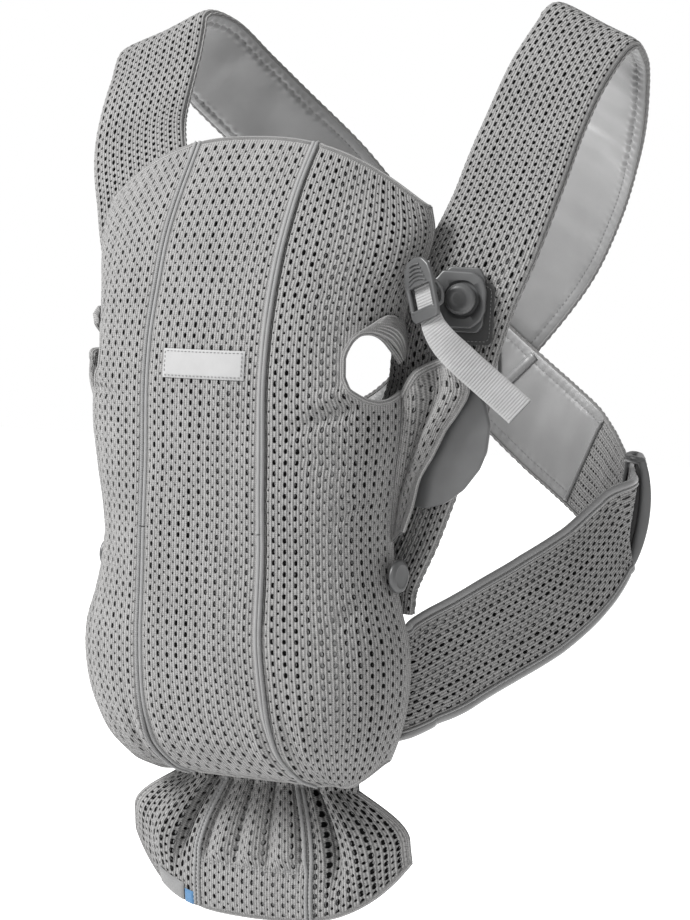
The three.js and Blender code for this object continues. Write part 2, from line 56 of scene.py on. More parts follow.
def make_camera():
    back = Vector(
        (
            math.sin(AZIMUTH) * math.cos(ELEVATION),
            -math.cos(AZIMUTH) * math.cos(ELEVATION),
            math.sin(ELEVATION),
        )
    )
    cam = bpy.data.objects.new("camera", bpy.data.cameras.new("camera"))
    cam.location = TARGET + back * DISTANCE
    cam.rotation_euler = back.to_track_quat("Z", "Y").to_euler()
    cam.data.sensor_width = 36.0
    cam.data.lens = FOCAL_PX / 920.0 * 36.0
    cam.data.clip_end = 50.0
    bpy.context.scene.collection.objects.link(cam)
    bpy.context.scene.camera = cam


def area_light(name, place, aim, size, power, tint=(1, 1, 1)):
    lamp = bpy.data.objects.new(name, bpy.data.lights.new(name, "AREA"))
    lamp.data.shape = "RECTANGLE"
    lamp.data.size, lamp.data.size_y = size
    lamp.data.energy = power
    lamp.data.color = tint
    lamp.location = place
    lamp.rotation_euler = (Vector(place) - Vector(aim)).to_track_quat("Z", "Y").to_euler()
    bpy.context.scene.collection.objects.link(lamp)


def make_studio():
    world = bpy.data.worlds.new("studio")
    bpy.context.scene.world = world
    world.use_nodes = True
    world.node_tree.nodes["Background"].inputs[0].default_value = (1, 1, 1, 1)
    world.node_tree.nodes["Background"].inputs[1].default_value = 1.0
    area_light("key", (-1.1, -1.6, 1.9), (0, 0, 0.2), (0.8, 0.8), 190)
    area_light("fill", (2.2, -1.2, 0.9), (0, 0, 0.2), (0.7, 1.4), 10)
    floor = bpy.data.meshes.new("floor")
    r = 6.0
    floor.from_pydata([(-r, -r, -0.45), (r, -r, -0.45), (r, r, -0.45), (-r, r, -0.45)], [], [(0, 1, 2, 3)])
    obj = bpy.data.objects.new("floor", floor)
    bpy.context.scene.collection.objects.link(obj)
    mat = bpy.data.materials.new("floor")
    mat.use_nodes = True
    bsdf = mat.node_tree.nodes["Principled BSDF"]
    bsdf.inputs["Base Color"].default_value = (0.97, 0.97, 0.97, 1)
    bsdf.inputs["Roughness"].default_value = 0.9
    bsdf.inputs["Emission Color"].default_value = (1, 1, 1, 1)
    bsdf.inputs["Emission Strength"].default_value = 0.5
    floor.materials.append(mat)


make_camera()
make_studio()
scene = bpy.context.scene
scene.view_settings.view_transform = "Standard"


# ------------------------------------------------------------------ small maths
def smooth(x, a, b):
    t = np.clip((np.asarray(x, float) - a) / (b - a), 0, 1)
    return t * t * (3 - 2 * t)


def bump(x, centre, width):
    """1 at centre, 0 beyond width, smooth."""
    t = np.clip(np.abs(np.asarray(x, float) - centre) / width, 0, 1)
    return (1 - t * t) ** 2


def mix(a, b, t):
    return a + (b - a) * t


class Curve:
    """A smooth curve through rows of [key, values...], with Catmull-Rom tangents."""

    def __init__(self, rows):
        self.k = np.array([r[0] for r in rows], float)
        self.v = np.array([r[1:] for r in rows], float)
        d = np.gradient(self.v, self.k, axis=0)
        self.d = d

    def __call__(self, x):
        x = np.clip(np.asarray(x, float), self.k[0], self.k[-1])
        i = np.clip(np.searchsorted(self.k, x, side="right") - 1, 0, len(self.k) - 2)
        h = self.k[i + 1] - self.k[i]
        t = ((x - self.k[i]) / h)[..., None]
        h = h[..., None]
        a, b, da, db = self.v[i], self.v[i + 1], self.d[i], self.d[i + 1]
        t2, t3 = t * t, t * t * t
        out = (2 * t3 - 3 * t2 + 1) * a + (t3 - 2 * t2 + t) * h * da
        out = out + (3 * t2 - 2 * t3) * b + (t3 - t2) * h * db
        return out[..., 0] if out.shape[-1] == 1 else out


class Noise:
    """Smooth value noise over two coordinates, seeded."""

    def __init__(self, seed, size=64):
        self.n = size
        self.g = np.random.default_rng(seed).uniform(-1, 1, (size, size))

    def __call__(self, x, y):
        x, y = np.broadcast_arrays(np.asarray(x, float), np.asarray(y, float))
        xi, yi = np.floor(x).astype(int), np.floor(y).astype(int)
        fx, fy = x - xi, y - yi
        fx, fy = fx * fx * (3 - 2 * fx), fy * fy * (3 - 2 * fy)
        g, n = self.g, self.n
        a, b = g[xi % n, yi % n], g[(xi + 1) % n, yi % n]
        c, d = g[xi % n, (yi + 1) % n], g[(xi + 1) % n, (yi + 1) % n]
        return (a * (1 - fx) + b * fx) * (1 - fy) + (c * (1 - fx) + d * fx) * fy


def unit(v):
    return v / np.maximum(np.linalg.norm(v, axis=-1, keepdims=True), 1e-12)


def with_normal(surf, s, t, e=0.4):
    """Points of surf and its normals there, d/ds x d/dt."""
    p = surf(s, t)
    ds = surf(s + e, t) - surf(s - e, t)
    dt = surf(s, t + e) - surf(s, t - e)
    return p, unit(np.cross(ds, dt))


# ------------------------------------------------------------------ mesh making
def new_object(name, verts_mm, faces, material, uv=None, smooth_shade=True, second=None, second_from=None):
    """An object from points in mm and polygons; uv holds one pair for each vertex."""
    verts = np.asarray(verts_mm, float) * MM
    mesh = bpy.data.meshes.new(name)
    used = np.zeros(len(verts), bool)
    sizes = np.array([len(f) for f in faces], np.int32)
    flat = np.fromiter((i for f in faces for i in f), np.int64, int(sizes.sum()))
    used[flat] = True
    remap = np.cumsum(used) - 1
    flat = remap[flat].astype(np.int32)
    verts = verts[used]
    mesh.vertices.add(len(verts))
    mesh.vertices.foreach_set("co", verts.astype(np.float32).ravel())
    mesh.loops.add(len(flat))
    mesh.loops.foreach_set("vertex_index", flat)
    mesh.polygons.add(len(sizes))
    starts = np.concatenate([[0], np.cumsum(sizes)[:-1]]).astype(np.int32)
    mesh.polygons.foreach_set("loop_start", starts)
    mesh.polygons.foreach_set("use_smooth", np.full(len(sizes), smooth_shade))
    if uv is not None:
        layer = mesh.uv_layers.new(name="cloth")
        layer.data.foreach_set("uv", np.asarray(uv, float)[used][flat].astype(np.float32).ravel())
    if second is not None:
        index = np.zeros(len(sizes), np.int32)
        index[second_from:] = 1
        mesh.polygons.foreach_set("material_index", index)
    mesh.update(calc_edges=True)
    mesh.validate()
    mesh.materials.append(material)
    if second is not None:
        mesh.materials.append(second)
    obj = bpy.data.objects.new(name, mesh)
    bpy.context.scene.collection.objects.link(obj)
    return obj


def grid_faces(nu, nv, offset=0, wrap_u=False, flip=False):
    """Quads of a grid of nu by nv points, u fastest."""
    cols = nu if wrap_u else nu - 1
    i, j = np.meshgrid(np.arange(cols), np.arange(nv - 1), indexing="xy")
    a = j * nu + i
    b = j * nu + (i + 1) % nu
    c = (j + 1) * nu + (i + 1) % nu
    d = (j + 1) * nu + i
    quads = np.stack([a, b, c, d] if not flip else [a, d, c, b], -1).reshape(-1, 4) + offset
    return quads.tolist()


class Builder:
    """Collects several grids and polygons into one object."""

    def __init__(self):
        self.v, self.uv, self.f, self.n = [], [], [], 0

    def add(self, verts, faces, uv=None):
        verts = np.asarray(verts, float).reshape(-1, 3)
        self.v.append(verts)
        self.uv.append(np.zeros((len(verts), 2)) if uv is None else np.asarray(uv, float).reshape(-1, 2))
        self.f.extend([[i + self.n for i in f] for f in faces])
        self.n += len(verts)

    def grid(self, pts, uv=None, wrap_u=False, flip=False):
        nv, nu = pts.shape[:2]
        self.add(pts, grid_faces(nu, nv, 0, wrap_u, flip), uv)

    def build(self, name, material, smooth_shade=True):
        verts, uv = np.concatenate(self.v), np.concatenate(self.uv)
        return new_object(name, verts, self.f, material, uv, smooth_shade)


# Directions of the twelve points round a hole, and of the cell's border points that match them.
ANGLES = np.arange(12) * math.pi / 6
BORDER = [(2, 2), (2, 3), (2, 4), (1, 4), (0, 4), (0, 3), (0, 2), (0, 1), (0, 0), (1, 0), (2, 0), (2, 1)]
UV_SCALE = 0.01  # uv runs 1 for each 100 mm of cloth


def knit(name, surf, columns, rows, cell, holes, material, lo=None, hi=None, phase=0, t0=0.0, s0=0.0,
         lift=0.05, depth=1.2, open_at=None, seed=1, shape=None, join_low=False, join_high=False):
    """A cloth of open cells: columns of long holes and columns of small ones, half a row apart.

    surf(s, t) gives points in mm for cloth coordinates in mm. lo(s) and hi(s) trim the cloth below and
    above. open_at(s, t) scales each hole; where it gives less than 0.25 the hole is only a dimple.
    Where two pieces meet, join_high on the lower and join_low on the upper drop the rows of filler faces
    there, so that the small holes keep their rhythm across the join."""
    cw, ch = cell
    (bx, bz), (sx, sz) = holes
    local = np.random.default_rng(seed)
    q_max = 4 * rows + (2 if join_high else 0)
    s_line = s0 + cw * np.arange(columns + 1)
    s_mid = s0 + cw * (np.arange(columns) + 0.5)
    level = t0 + ch * 0.25 * np.arange(q_max + 1)

    def limits(s):
        low = np.full(len(s), level[0]) if lo is None else np.maximum(lo(s), level[0])
        high = np.full(len(s), level[-1]) if hi is None else np.minimum(hi(s), level[-1])
        return low, high

    def columns_of(s):
        low, high = limits(s)
        t = np.clip(level[None, :], low[:, None], high[:, None])
        q = np.arange(q_max + 1)[None, :]
        first = np.sum(level[None, :] <= low[:, None], 1) - 1
        last = q_max - (np.sum(level[None, :] >= high[:, None], 1) - 1)
        canon = np.clip(q, np.maximum(first, 0)[:, None], np.minimum(last, q_max)[:, None])
        return t, canon

    t_line, canon_line = columns_of(s_line)
    t_mid, canon_mid = columns_of(s_mid)
    n_line = (columns + 1) * (q_max + 1)
    vs = np.concatenate([np.repeat(s_line, q_max + 1), np.repeat(s_mid, q_max + 1)])
    vt = np.concatenate([t_line.ravel(), t_mid.ravel()])
    vh = np.full(len(vs), lift)

    def line(i, q):
        return i * (q_max + 1) + canon_line[i, q]

    def middle(i, q):
        return n_line + i * (q_max + 1) + canon_mid[i, q]

    faces = []
    rs, rt, rh, ring_base = [], [], [], len(vs)
    cells_i, cells_q = [], []
    for i in range(columns):
        big = (i + phase) % 2 == 0
        starts = list(range(0, 4 * rows - 3, 4)) if big else list(range(2, q_max - 3, 4))
        for q in starts:
            cells_i.append(i)
            cells_q.append(q)
        if not big:
            for q in ([] if join_low else [0]) + ([] if join_high else [q_max - 2]):
                poly = [line(i, q), middle(i, q), line(i + 1, q), line(i + 1, q + 1), line(i + 1, q + 2),
                        middle(i, q + 2), line(i, q + 2), line(i, q + 1)]
                poly = [a for k, a in enumerate(poly) if a != poly[k - 1]]
                if len(poly) > 2:
                    faces.append(poly)
    ci, cq = np.array(cells_i), np.array(cells_q)
    border = []
    for dx, dq in BORDER:
        if dx == 1:
            border.append(n_line + ci * (q_max + 1) + canon_mid[ci, cq + dq])
        else:
            k = ci + (1 if dx == 2 else 0)
            border.append(k * (q_max + 1) + canon_line[k, cq + dq])
    border = np.stack(border, 1)
    low_l, high_l = limits(s_line)
    low_m, high_m = limits(s_mid)
    t_a, t_b = level[cq], level[cq + 4]
    eps = 1e-6
    whole = np.ones(len(ci), bool)
    for low, high in ((low_l[ci], high_l[ci]), (low_l[ci + 1], high_l[ci + 1]), (low_m[ci], high_m[ci])):
        whole &= (t_a >= low - eps) & (t_b <= high + eps)
    gone = (t_a >= np.maximum(np.maximum(high_l[ci], high_l[ci + 1]), high_m[ci]) - eps) | (
        t_b <= np.minimum(np.minimum(low_l[ci], low_l[ci + 1]), low_m[ci]) + eps)
    for k in np.nonzero(~whole & ~gone)[0]:
        poly = border[k].tolist()
        poly = [a for m, a in enumerate(poly) if a != poly[m - 1]]
        if len(poly) > 2:
            faces.append(poly)
    # the open cells
    ci, cq, border = ci[whole], cq[whole], border[whole]
    n = len(ci)
    cs, ct = s_mid[ci], level[cq + 2]
    big = (ci + phase) % 2 == 0
    scale = np.ones(n) if open_at is None else open_at(cs, ct)
    rx = np.where(big, bx, sx) * (1 + 0.08 * local.standard_normal(n))
    rz = np.where(big, bz, sz) * (1 + 0.06 * local.standard_normal(n))
    cs = cs + 0.05 * local.standard_normal(n)
    ct = ct + 0.06 * local.standard_normal(n)
    if shape is not None:
        fx, fz = shape(cs, ct)
        rx, rz = rx * fx, rz * fz
    open_size = np.clip(scale, 0.35, 1.5)
    rx, rz = rx * open_size, rz * open_size
    rx, rz = np.minimum(rx, 0.4 * cw), np.minimum(rz, 0.43 * ch)
    squash = np.where(big, 0.72, 1.0)[:, None]
    ex = np.sign(np.cos(ANGLES)) * np.abs(np.cos(ANGLES)) ** squash
    ez = np.sin(ANGLES)[None, :] * np.ones((n, 1))
    closed = scale < 0.25
    for factor, height in ((1.08, 0.34), (0.93, -0.1), (0.84, -depth)):
        height = np.where(closed, max(height, -0.6), height)
        rs.append((cs[:, None] + rx[:, None] * ex * factor).ravel())
        rt.append((ct[:, None] + rz[:, None] * ez * factor).ravel())
        rh.append(np.repeat(height, 12))
    ring0 = ring_base + np.arange(n * 12).reshape(n, 12)
    ring1, ring2 = ring0 + n * 12, ring0 + n * 24
    nxt = (np.arange(12) + 1) % 12
    quads_a = np.stack([border, border[:, nxt], ring0[:, nxt], ring0], -1).reshape(-1, 4)
    quads_m = np.stack([ring0, ring0[:, nxt], ring1[:, nxt], ring1], -1).reshape(-1, 4)
    quads_b = np.stack([ring1, ring1[:, nxt], ring2[:, nxt], ring2], -1).reshape(-1, 4)
    faces.extend(quads_a.tolist())
    faces.extend(quads_m.tolist())
    shut = np.repeat(closed, 12)
    faces.extend(quads_b[shut].tolist())
    for k in np.nonzero(closed)[0]:
        faces.append(ring2[k].tolist())
    # the hole walls take the second material, the yarn made near black as the painted shade inside each hole
    walls_from = len(faces)
    faces.extend(quads_b[~shut].tolist())
    vs = np.concatenate([vs] + rs)
    vt = np.concatenate([vt] + rt)
    vh = np.concatenate([vh] + rh)
    p, nrm = with_normal(surf, vs, vt)
    verts = p + nrm * vh[:, None]
    uv = np.stack([vs, vt], 1) * UV_SCALE
    return new_object(name, verts, faces, material, uv, True, SHADE_YARN, walls_from)


def sheet_layer(builder, surf, s, lo, hi, nt, height, flip=False):
    """A plain layer of the same cloth: s values across, trimmed by lo and hi, height along the normal."""
    s = np.asarray(s, float)
    low, high = lo(s), hi(s)
    k = np.linspace(0, 1, nt)[:, None]
    t = low[None, :] * (1 - k) + high[None, :] * k
    ss = np.broadcast_to(s[None, :], t.shape)
    p, nrm = with_normal(surf, ss, t)
    h = height(ss, t) if callable(height) else height
    pts = p + nrm * (h[..., None] if np.ndim(h) else h)
    builder.grid(pts, np.stack([ss, t], -1) * UV_SCALE, flip=flip)
    return pts


def frames_along(path):
    """Tangents, and two directions that turn as little as possible, along points (n, 3)."""
    tangent = unit(np.gradient(path, axis=0))
    a = np.zeros_like(path)
    start = np.cross(tangent[0], [0.0, 0.0, 1.0])
    if np.linalg.norm(start) < 0.1:
        start = np.cross(tangent[0], [0.0, 1.0, 0.0])
    a[0] = start / np.linalg.norm(start)
    for i in range(1, len(path)):
        v = a[i - 1] - tangent[i] * np.dot(a[i - 1], tangent[i])
        a[i] = v / max(np.linalg.norm(v), 1e-9)
    return tangent, a, np.cross(tangent, a)


def tube(builder, path, r, sides=8, flat=None, normal=None, closed=False, cap=True, twist=0.0):
    """A tube along path. r is a number or one for each point; flat=(w, h) scales along and off the normal."""
    path = np.asarray(path, float)
    n = len(path)
    tangent, a, b = frames_along(path)
    if normal is not None:
        b = unit(normal - tangent * np.sum(normal * tangent, -1, keepdims=True))
        a = np.cross(b, tangent)
    ang = np.arange(sides) * 2 * math.pi / sides
    w, h = flat if flat else (1.0, 1.0)
    rr = np.broadcast_to(np.asarray(r, float), (n,))
    length = np.concatenate([[0], np.cumsum(np.linalg.norm(np.diff(path, axis=0), axis=1))])
    rope = 1 + (0.2 * np.cos(2 * ang[None, :] + twist * length[:, None]) if twist else 0 * length[:, None])
    ring = path[:, None, :] + (rr[:, None] * rope)[:, :, None] * (
        np.cos(ang)[None, :, None] * a[:, None, :] * w + np.sin(ang)[None, :, None] * b[:, None, :] * h)
    uv = np.stack(np.broadcast_arrays(ang[None, :] * rr[:, None], length[:, None]), -1) * UV_SCALE
    faces = grid_faces(sides, n, wrap_u=True)
    if closed:
        last = (n - 1) * sides
        faces += [[last + i, last + (i + 1) % sides, (i + 1) % sides, i] for i in range(sides)]
    elif cap:
        faces += [list(range(sides))[::-1], [(n - 1) * sides + i for i in range(sides)]]
    builder.add(ring, faces, uv)


def resample(path, step):
    """Points every step or so along a path, with any further columns carried along."""
    path = np.asarray(path, float)
    d = np.concatenate([[0], np.cumsum(np.linalg.norm(np.diff(path, axis=0), axis=1))])
    n = max(int(round(d[-1] / step)), 2)
    x = np.linspace(0, d[-1], n + 1)
    return np.stack([np.interp(x, d, path[:, k]) for k in range(path.shape[1])], 1)


def stitches(builder, path, normal, length=2.4, gap=1.1, r=0.32, sink=0.15):
    """Short thread dashes along path, standing on the side of normal."""
    both = np.concatenate([np.asarray(path, float), np.asarray(normal, float)], 1)
    fine = resample(both, 0.3)
    per = max(int(round((length + gap) / 0.3)), 3)
    on = max(int(round(length / 0.3)), 2)
    for i in range(0, len(fine) - on, per):
        seg = fine[i:i + on + 1]
        k = np.linspace(-1, 1, len(seg))
        pts = seg[:, :3] + unit(seg[:, 3:]) * (r * (1 - 0.9 * k ** 4) - sink)[:, None]
        pick = np.linspace(0, len(seg) - 1, 4).astype(int)
        tube(builder, pts[pick], np.array([0.55, 1.0, 1.0, 0.55]) * r, sides=5)


# ------------------------------------------------------------------ materials
class Nodes:
    """A short way to wire a material's nodes."""

    def __init__(self, name, roughness, sheen=0.0, spec=0.4):
        self.mat = bpy.data.materials.new(name)
        self.mat.use_nodes = True
        self.tree = self.mat.node_tree
        self.bsdf = self.tree.nodes["Principled BSDF"]
        self.bsdf.inputs["Roughness"].default_value = roughness
        self.bsdf.inputs["Specular IOR Level"].default_value = spec
        self.bsdf.inputs["Sheen Weight"].default_value = sheen
        self.bsdf.inputs["Sheen Roughness"].default_value = 0.5

    def node(self, kind, **values):
        n = self.tree.nodes.new(kind)
        for key, value in values.items():
            key = key.replace("_", " ")
            socket = next((s for s in n.inputs if s.name.lower() == key.lower() and s.enabled), None)
            if isinstance(value, bpy.types.NodeSocket):
                self.tree.links.new(value, socket)
            else:
                socket.default_value = value
        return n

    def coords(self, uv=True):
        n = self.tree.nodes.new("ShaderNodeTexCoord")
        return n.outputs["UV" if uv else "Object"]

    def noise(self, vector, scale, detail=3.0, rough=0.55):
        return self.node("ShaderNodeTexNoise", Vector=vector, Scale=scale, Detail=detail,
                         Roughness=rough).outputs["Fac"]

    def wave(self, vector, scale, direction="X", distortion=0.0):
        n = self.node("ShaderNodeTexWave", Vector=vector, Scale=scale, Distortion=distortion)
        n.bands_direction = direction
        return n.outputs["Fac"]

    def math(self, kind, a, b=0.0):
        n = self.tree.nodes.new("ShaderNodeMath")
        n.operation = kind
        for socket, value in zip(n.inputs, (a, b)):
            if isinstance(value, bpy.types.NodeSocket):
                self.tree.links.new(value, socket)
            else:
                socket.default_value = value
        return n.outputs[0]

    def ramp(self, factor, stops):
        n = self.node("ShaderNodeValToRGB", Fac=factor)
        while len(n.color_ramp.elements) < len(stops):
            n.color_ramp.elements.new(0.5)
        for element, (place, colour) in zip(n.color_ramp.elements, stops):
            element.position = place
            element.color = (*colour, 1.0)
        return n.outputs["Color"]

    def finish(self, colour, height=None, strength=0.3, distance=0.0003):
        self.tree.links.new(colour, self.bsdf.inputs["Base Color"])
        if height is not None:
            b = self.node("ShaderNodeBump", Height=height, Strength=strength, Distance=distance)
            self.tree.links.new(b.outputs["Normal"], self.bsdf.inputs["Normal"])
        return self.mat


def grey(v, warm=0.0):
    return (v * (1 + warm), v, v * (1 - warm))


def yarn_material(name, dark, light, sheen=0.25):
    """Knitted polyester: chains of small loops run along the cloth, painted lighter on their raised tops as a
    painted highlight.
    """
    m = Nodes(name, 0.78, sheen, 0.25)
    uv, place = m.coords(), m.coords(False)
    wales = m.wave(uv, 17.0, "X", 0.6)
    loops = m.wave(uv, 27.0, "Y", 1.6)
    twist = m.wave(uv, 46.0, "DIAGONAL", 2.0)
    cloud = m.noise(place, 26.0)
    fleck = m.noise(place, 900.0, 2.0)
    height = m.math("ADD", m.math("MULTIPLY", loops, 0.28), m.math("MULTIPLY", wales, 0.9))
    height = m.math("ADD", height, m.math("MULTIPLY", twist, 0.35))
    # painted highlight: the colour follows the bump height, so raised loops and wales come out lighter; fleck
    # and cloud are random tone
    tone = m.math("ADD", m.math("MULTIPLY", height, 0.33), m.math("MULTIPLY", fleck, 0.36))
    tone = m.math("ADD", tone, m.math("MULTIPLY", cloud, 0.16))
    colour = m.ramp(tone, [(0.28, grey(dark, 0.012)), (0.8, grey(light, 0.012))])
    return m.finish(colour, height, 0.75, 0.0006)


def backing_material():
    """The layer seen through the holes: a near-black ground, painted as the shade inside the mesh, crossed by
    pale yarns of its own.
    """
    m = Nodes("mesh_inner_layer_painted_shade", 0.9, 0.0, 0.1)
    uv = m.coords()
    a = m.wave(uv, 8.75, "X", 0.9)
    b = m.wave(uv, 9.3, "Y", 1.6)
    yarn = m.math("MULTIPLY", a, m.math("ADD", m.math("MULTIPLY", b, 0.45), 0.5))
    yarn = m.math("ADD", yarn, m.math("MULTIPLY", m.noise(uv, 14.0, 2.0), 0.3))
    colour = m.ramp(yarn, [(0.38, grey(0.004)), (0.52, grey(0.02)), (0.66, grey(0.24))])
    return m.finish(colour, yarn, 0.4, 0.0004)


def satin_material(name, low, high):
    m = Nodes(name, 0.36, 0.35, 0.55)
    uv, place = m.coords(), m.coords(False)
    weave = m.math("MULTIPLY", m.wave(uv, 150.0, "X"), m.wave(uv, 150.0, "Y"))
    cloud = m.noise(place, 30.0)
    tone = m.math("ADD", m.math("MULTIPLY", weave, 0.3), m.math("MULTIPLY", cloud, 0.7))
    return m.finish(m.ramp(tone, [(0.2, grey(low)), (0.8, grey(high))]), weave, 0.22, 0.0002)


def plastic_material(name, tone_low, tone_high, roughness=0.4):
    m = Nodes(name, roughness, 0.0, 0.45)
    place = m.coords(False)
    grain = m.noise(place, 1500.0, 2.0)
    wear = m.noise(place, 55.0, 4.0)
    colour = m.ramp(wear, [(0.3, grey(tone_low, -0.015)), (0.75, grey(tone_high, -0.015))])
    return m.finish(colour, grain, 0.14, 0.0002)


def woven_material(name, low, high, scale=120.0, bump=0.4):
    """Plain woven tape: warp and weft crossing."""
    m = Nodes(name, 0.7, 0.12, 0.3)
    uv, place = m.coords(), m.coords(False)
    weave = m.math("ADD", m.wave(uv, scale, "X"), m.wave(uv, scale * 0.7, "Y"))
    tone = m.math("ADD", m.math("MULTIPLY", weave, 0.35), m.math("MULTIPLY", m.noise(place, 120.0), 0.4))
    return m.finish(m.ramp(tone, [(0.2, low), (0.85, high)]), weave, bump, 0.0003)


MESH = yarn_material("mesh_yarn", 0.05, 0.19, 0.08)
# the same yarn, near black: painted shade for the hole walls and the seam grooves
SHADE_YARN = yarn_material("mesh_yarn_painted_shade", 0.008, 0.03, 0.0)
# near black with pale yarns: the black ground is painted shade inside the spacer mesh
SHADED_BACKING = backing_material()
INNER = woven_material("mesh_inner_face", grey(0.13), grey(0.20), 70.0)
SATIN = satin_material("satin_lining", 0.075, 0.12)
BINDING = satin_material("satin_binding", 0.06, 0.1)
PLASTIC = plastic_material("moulded_plastic", 0.028, 0.04)
PATCH = woven_material("non_slip_patch", grey(0.018), grey(0.05), 85.0, 0.6)
WEBBING = woven_material("ribbed_webbing", grey(0.12), grey(0.2), 85.0)
TAPE = woven_material("seam_tape", grey(0.09), grey(0.15), 90.0)
LABEL = woven_material("blank_label", grey(0.15), grey(0.2), 140.0, 0.25)
GREY_TAB = woven_material("grey_tab", grey(0.075), grey(0.11), 140.0, 0.25)
ACCENT = woven_material("accent_tab", (0.02, 0.065, 0.13), (0.035, 0.1, 0.19), 140.0, 0.25)
THREAD = woven_material("thread", grey(0.07), grey(0.12), 200.0, 0.2)

SIDES = ((1, "right"), (-1, "left"))


def dress(obj, body, nodes=()):
    """Sets obj's body, and hides the CAD nodes it stands for."""
    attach(obj, body)
    if nodes:
        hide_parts(*nodes)
    return obj


# ------------------------------------------------------------------ front panel and head support
PANEL_N = 2.6
FRONT = Curve([  # height: half width, y of the side edges, y of the middle
    [-4, 84, 15, 4], [2, 88, 13, -14], [9, 93, 11, -26], [20, 100, 9, -39], [36, 107, 8, -48],
    [65, 113, 7, -55], [91, 112, 7, -56.5], [111, 106, 8, -55.5], [133, 101, 9, -54.5], [163, 100, 9, -53],
    [190, 104, 8, -52], [220, 108, 8, -51], [250, 107, 9, -49.5], [272, 105, 12, -46.5],
    [302.5, 108, 14.5, -38], [333, 115, 22, -26], [363.5, 119, 25, -9], [394, 117, 25, 12]])
FOOT, HEAD_LOW, HEAD_HIGH, HEAD_DROP = -4, 272.0, 394.0, 42.0
CENTRE_HALF, SIDE_SPAN = 42.55, 88.8  # cloth widths of the centre gore's half and of a side gore
ROW, HOLES = 6.7, ((1.12, 1.8), (0.7, 0.84))
LOWER_ROWS, CHEST_ROWS, HEAD_ROWS = 24, 15, 21
CENTRE_COLUMNS, SIDE_COLUMNS = 25, 27
SPLIT = FOOT + LOWER_ROWS * ROW
CENTRE_CELL = (2 * CENTRE_HALF / CENTRE_COLUMNS, ROW)
SIDE_CELL = (SIDE_SPAN / SIDE_COLUMNS, ROW)
lumps, crumple = Noise(11), Noise(12)


def seam_x(t):
    return mix(47.0, 43.0, smooth(t, 0, 120))


def front_point(x, t):
    """A point of the front at half-section position x, with the rounded top corners."""
    w, edge, front = np.moveaxis(FRONT(t), -1, 0)
    k = np.clip(np.abs(x) / w, 0, 1)
    y = edge - (edge - front) * (1 - k ** PANEL_N) ** (1 / PANEL_N)
    v = np.clip((t - HEAD_LOW) / (HEAD_HIGH - HEAD_LOW), 0, 1)
    z = t - HEAD_DROP * v ** 1.5 * k ** 2.4
    return np.stack([np.clip(x, -w, w), y, z], -1)


FOLDS = (  # two ends (x, height), half width, depth: hollows positive, ridges negative
    ((92, 233), (60, 218), 7.5, 3.2), ((96, 243), (64, 236), 7.0, -2.0), ((101, 184), (82, 163), 6.0, 2.6),
    ((101, 170), (99, 138), 7.0, -2.2), ((100, 118), (84, 96), 7.0, 2.2), ((-104, 240), (-62, 235), 5.0, 3.0),
    ((-104, 250), (-76, 246), 5.0, -1.8), ((-103, 172), (-86, 140), 7.0, 2.4),
    ((70, 205), (96, 192), 8.0, 1.4), ((58, 312), (96, 296), 8.0, 1.5), ((-60, 330), (-92, 318), 8.0, 1.4))


def folds(x, t):
    """How far the drawn folds push the cloth in at a place on the front."""
    d = 0.0
    for (x0, t0), (x1, t1), width, depth in FOLDS:
        ax, at = x1 - x0, t1 - t0
        k = np.clip(((x - x0) * ax + (t - t0) * at) / (ax * ax + at * at), 0, 1)
        gap = np.hypot(x - x0 - k * ax, t - t0 - k * at)
        d = d + depth * bump(gap, 0, width) * (1 - 0.75 * smooth(k, 0.35, 1))
    return d


def relief(p, x, t):
    """Soft lumps, draped folds, pleats by the seams at the foot, and the hollow beside each seam."""
    d = 1.5 * lumps(x / 48 + 3, t / 70) + 0.7 * crumple(x / 17, t / 34)
    gather = (1 - smooth(t, 4, 70)) * np.exp(-((np.abs(x) - 52) / 17) ** 2)
    d = d + 2.6 * gather * np.cos(x / 2.7 + 0.8 * lumps(x / 20, t / 30))
    d = d - 1.1 * bump(np.abs(x) - seam_x(t), 0, 5.0) - 1.0 * bump(np.abs(x) - seam_x(t) - 3.4, 0, 0.9)
    d = d - folds(x, t)
    p = p.copy()
    p[..., 1] -= d * (1 - smooth(np.abs(x), 90, 104))
    return p


def centre_surface(s, t):
    t = np.asarray(t, float)
    x = s / CENTRE_HALF * seam_x(t)
    return relief(front_point(x, t), x, t)


TABLE_T = np.arange(-8, 404, 4.0)
TABLE_F = np.linspace(0, 1, 33)


def arc_table():
    """For heights down and cloth fractions across, the section position x of a side gore."""
    out = []
    for t in TABLE_T:
        w, edge, front = FRONT(np.array(t))
        a0 = math.asin(min((float(seam_x(t)) / w) ** (PANEL_N / 2), 1))
        a = np.linspace(a0, math.pi / 2, 200)
        x = w * np.sin(a) ** (2 / PANEL_N)
        y = edge - (edge - front) * np.maximum(np.cos(a), 0) ** (2 / PANEL_N)
        d = np.concatenate([[0], np.cumsum(np.hypot(np.diff(x), np.diff(y)))])
        out.append(np.interp(TABLE_F, d / d[-1], a))
    return np.array(out)


ARC = arc_table()


def side_x(s, t):
    f = np.clip(np.asarray(s, float) / SIDE_SPAN, 0, 1) * (len(TABLE_F) - 1)
    g = np.clip((np.asarray(t, float) - TABLE_T[0]) / 4.0, 0, len(TABLE_T) - 1.001)
    f, g = np.broadcast_arrays(f, g)
    i, j = np.minimum(f.astype(int), len(TABLE_F) - 2), g.astype(int)
    fx, fy = f - i, g - j
    below = ARC[j, i] * (1 - fx) + ARC[j, i + 1] * fx
    above = ARC[j + 1, i] * (1 - fx) + ARC[j + 1, i + 1] * fx
    a = below * (1 - fy) + above * fy
    w = FRONT(np.asarray(t, float))[..., 0]
    return w * np.sin(a) ** (2 / PANEL_N)


def side_surface(side):
    def surf(s, t):
        t = np.asarray(t, float)
        s = np.asarray(s, float) if side > 0 else -np.asarray(s, float)
        x = side_x(s, t) * side
        return relief(front_point(x, t), x, t)
    return surf


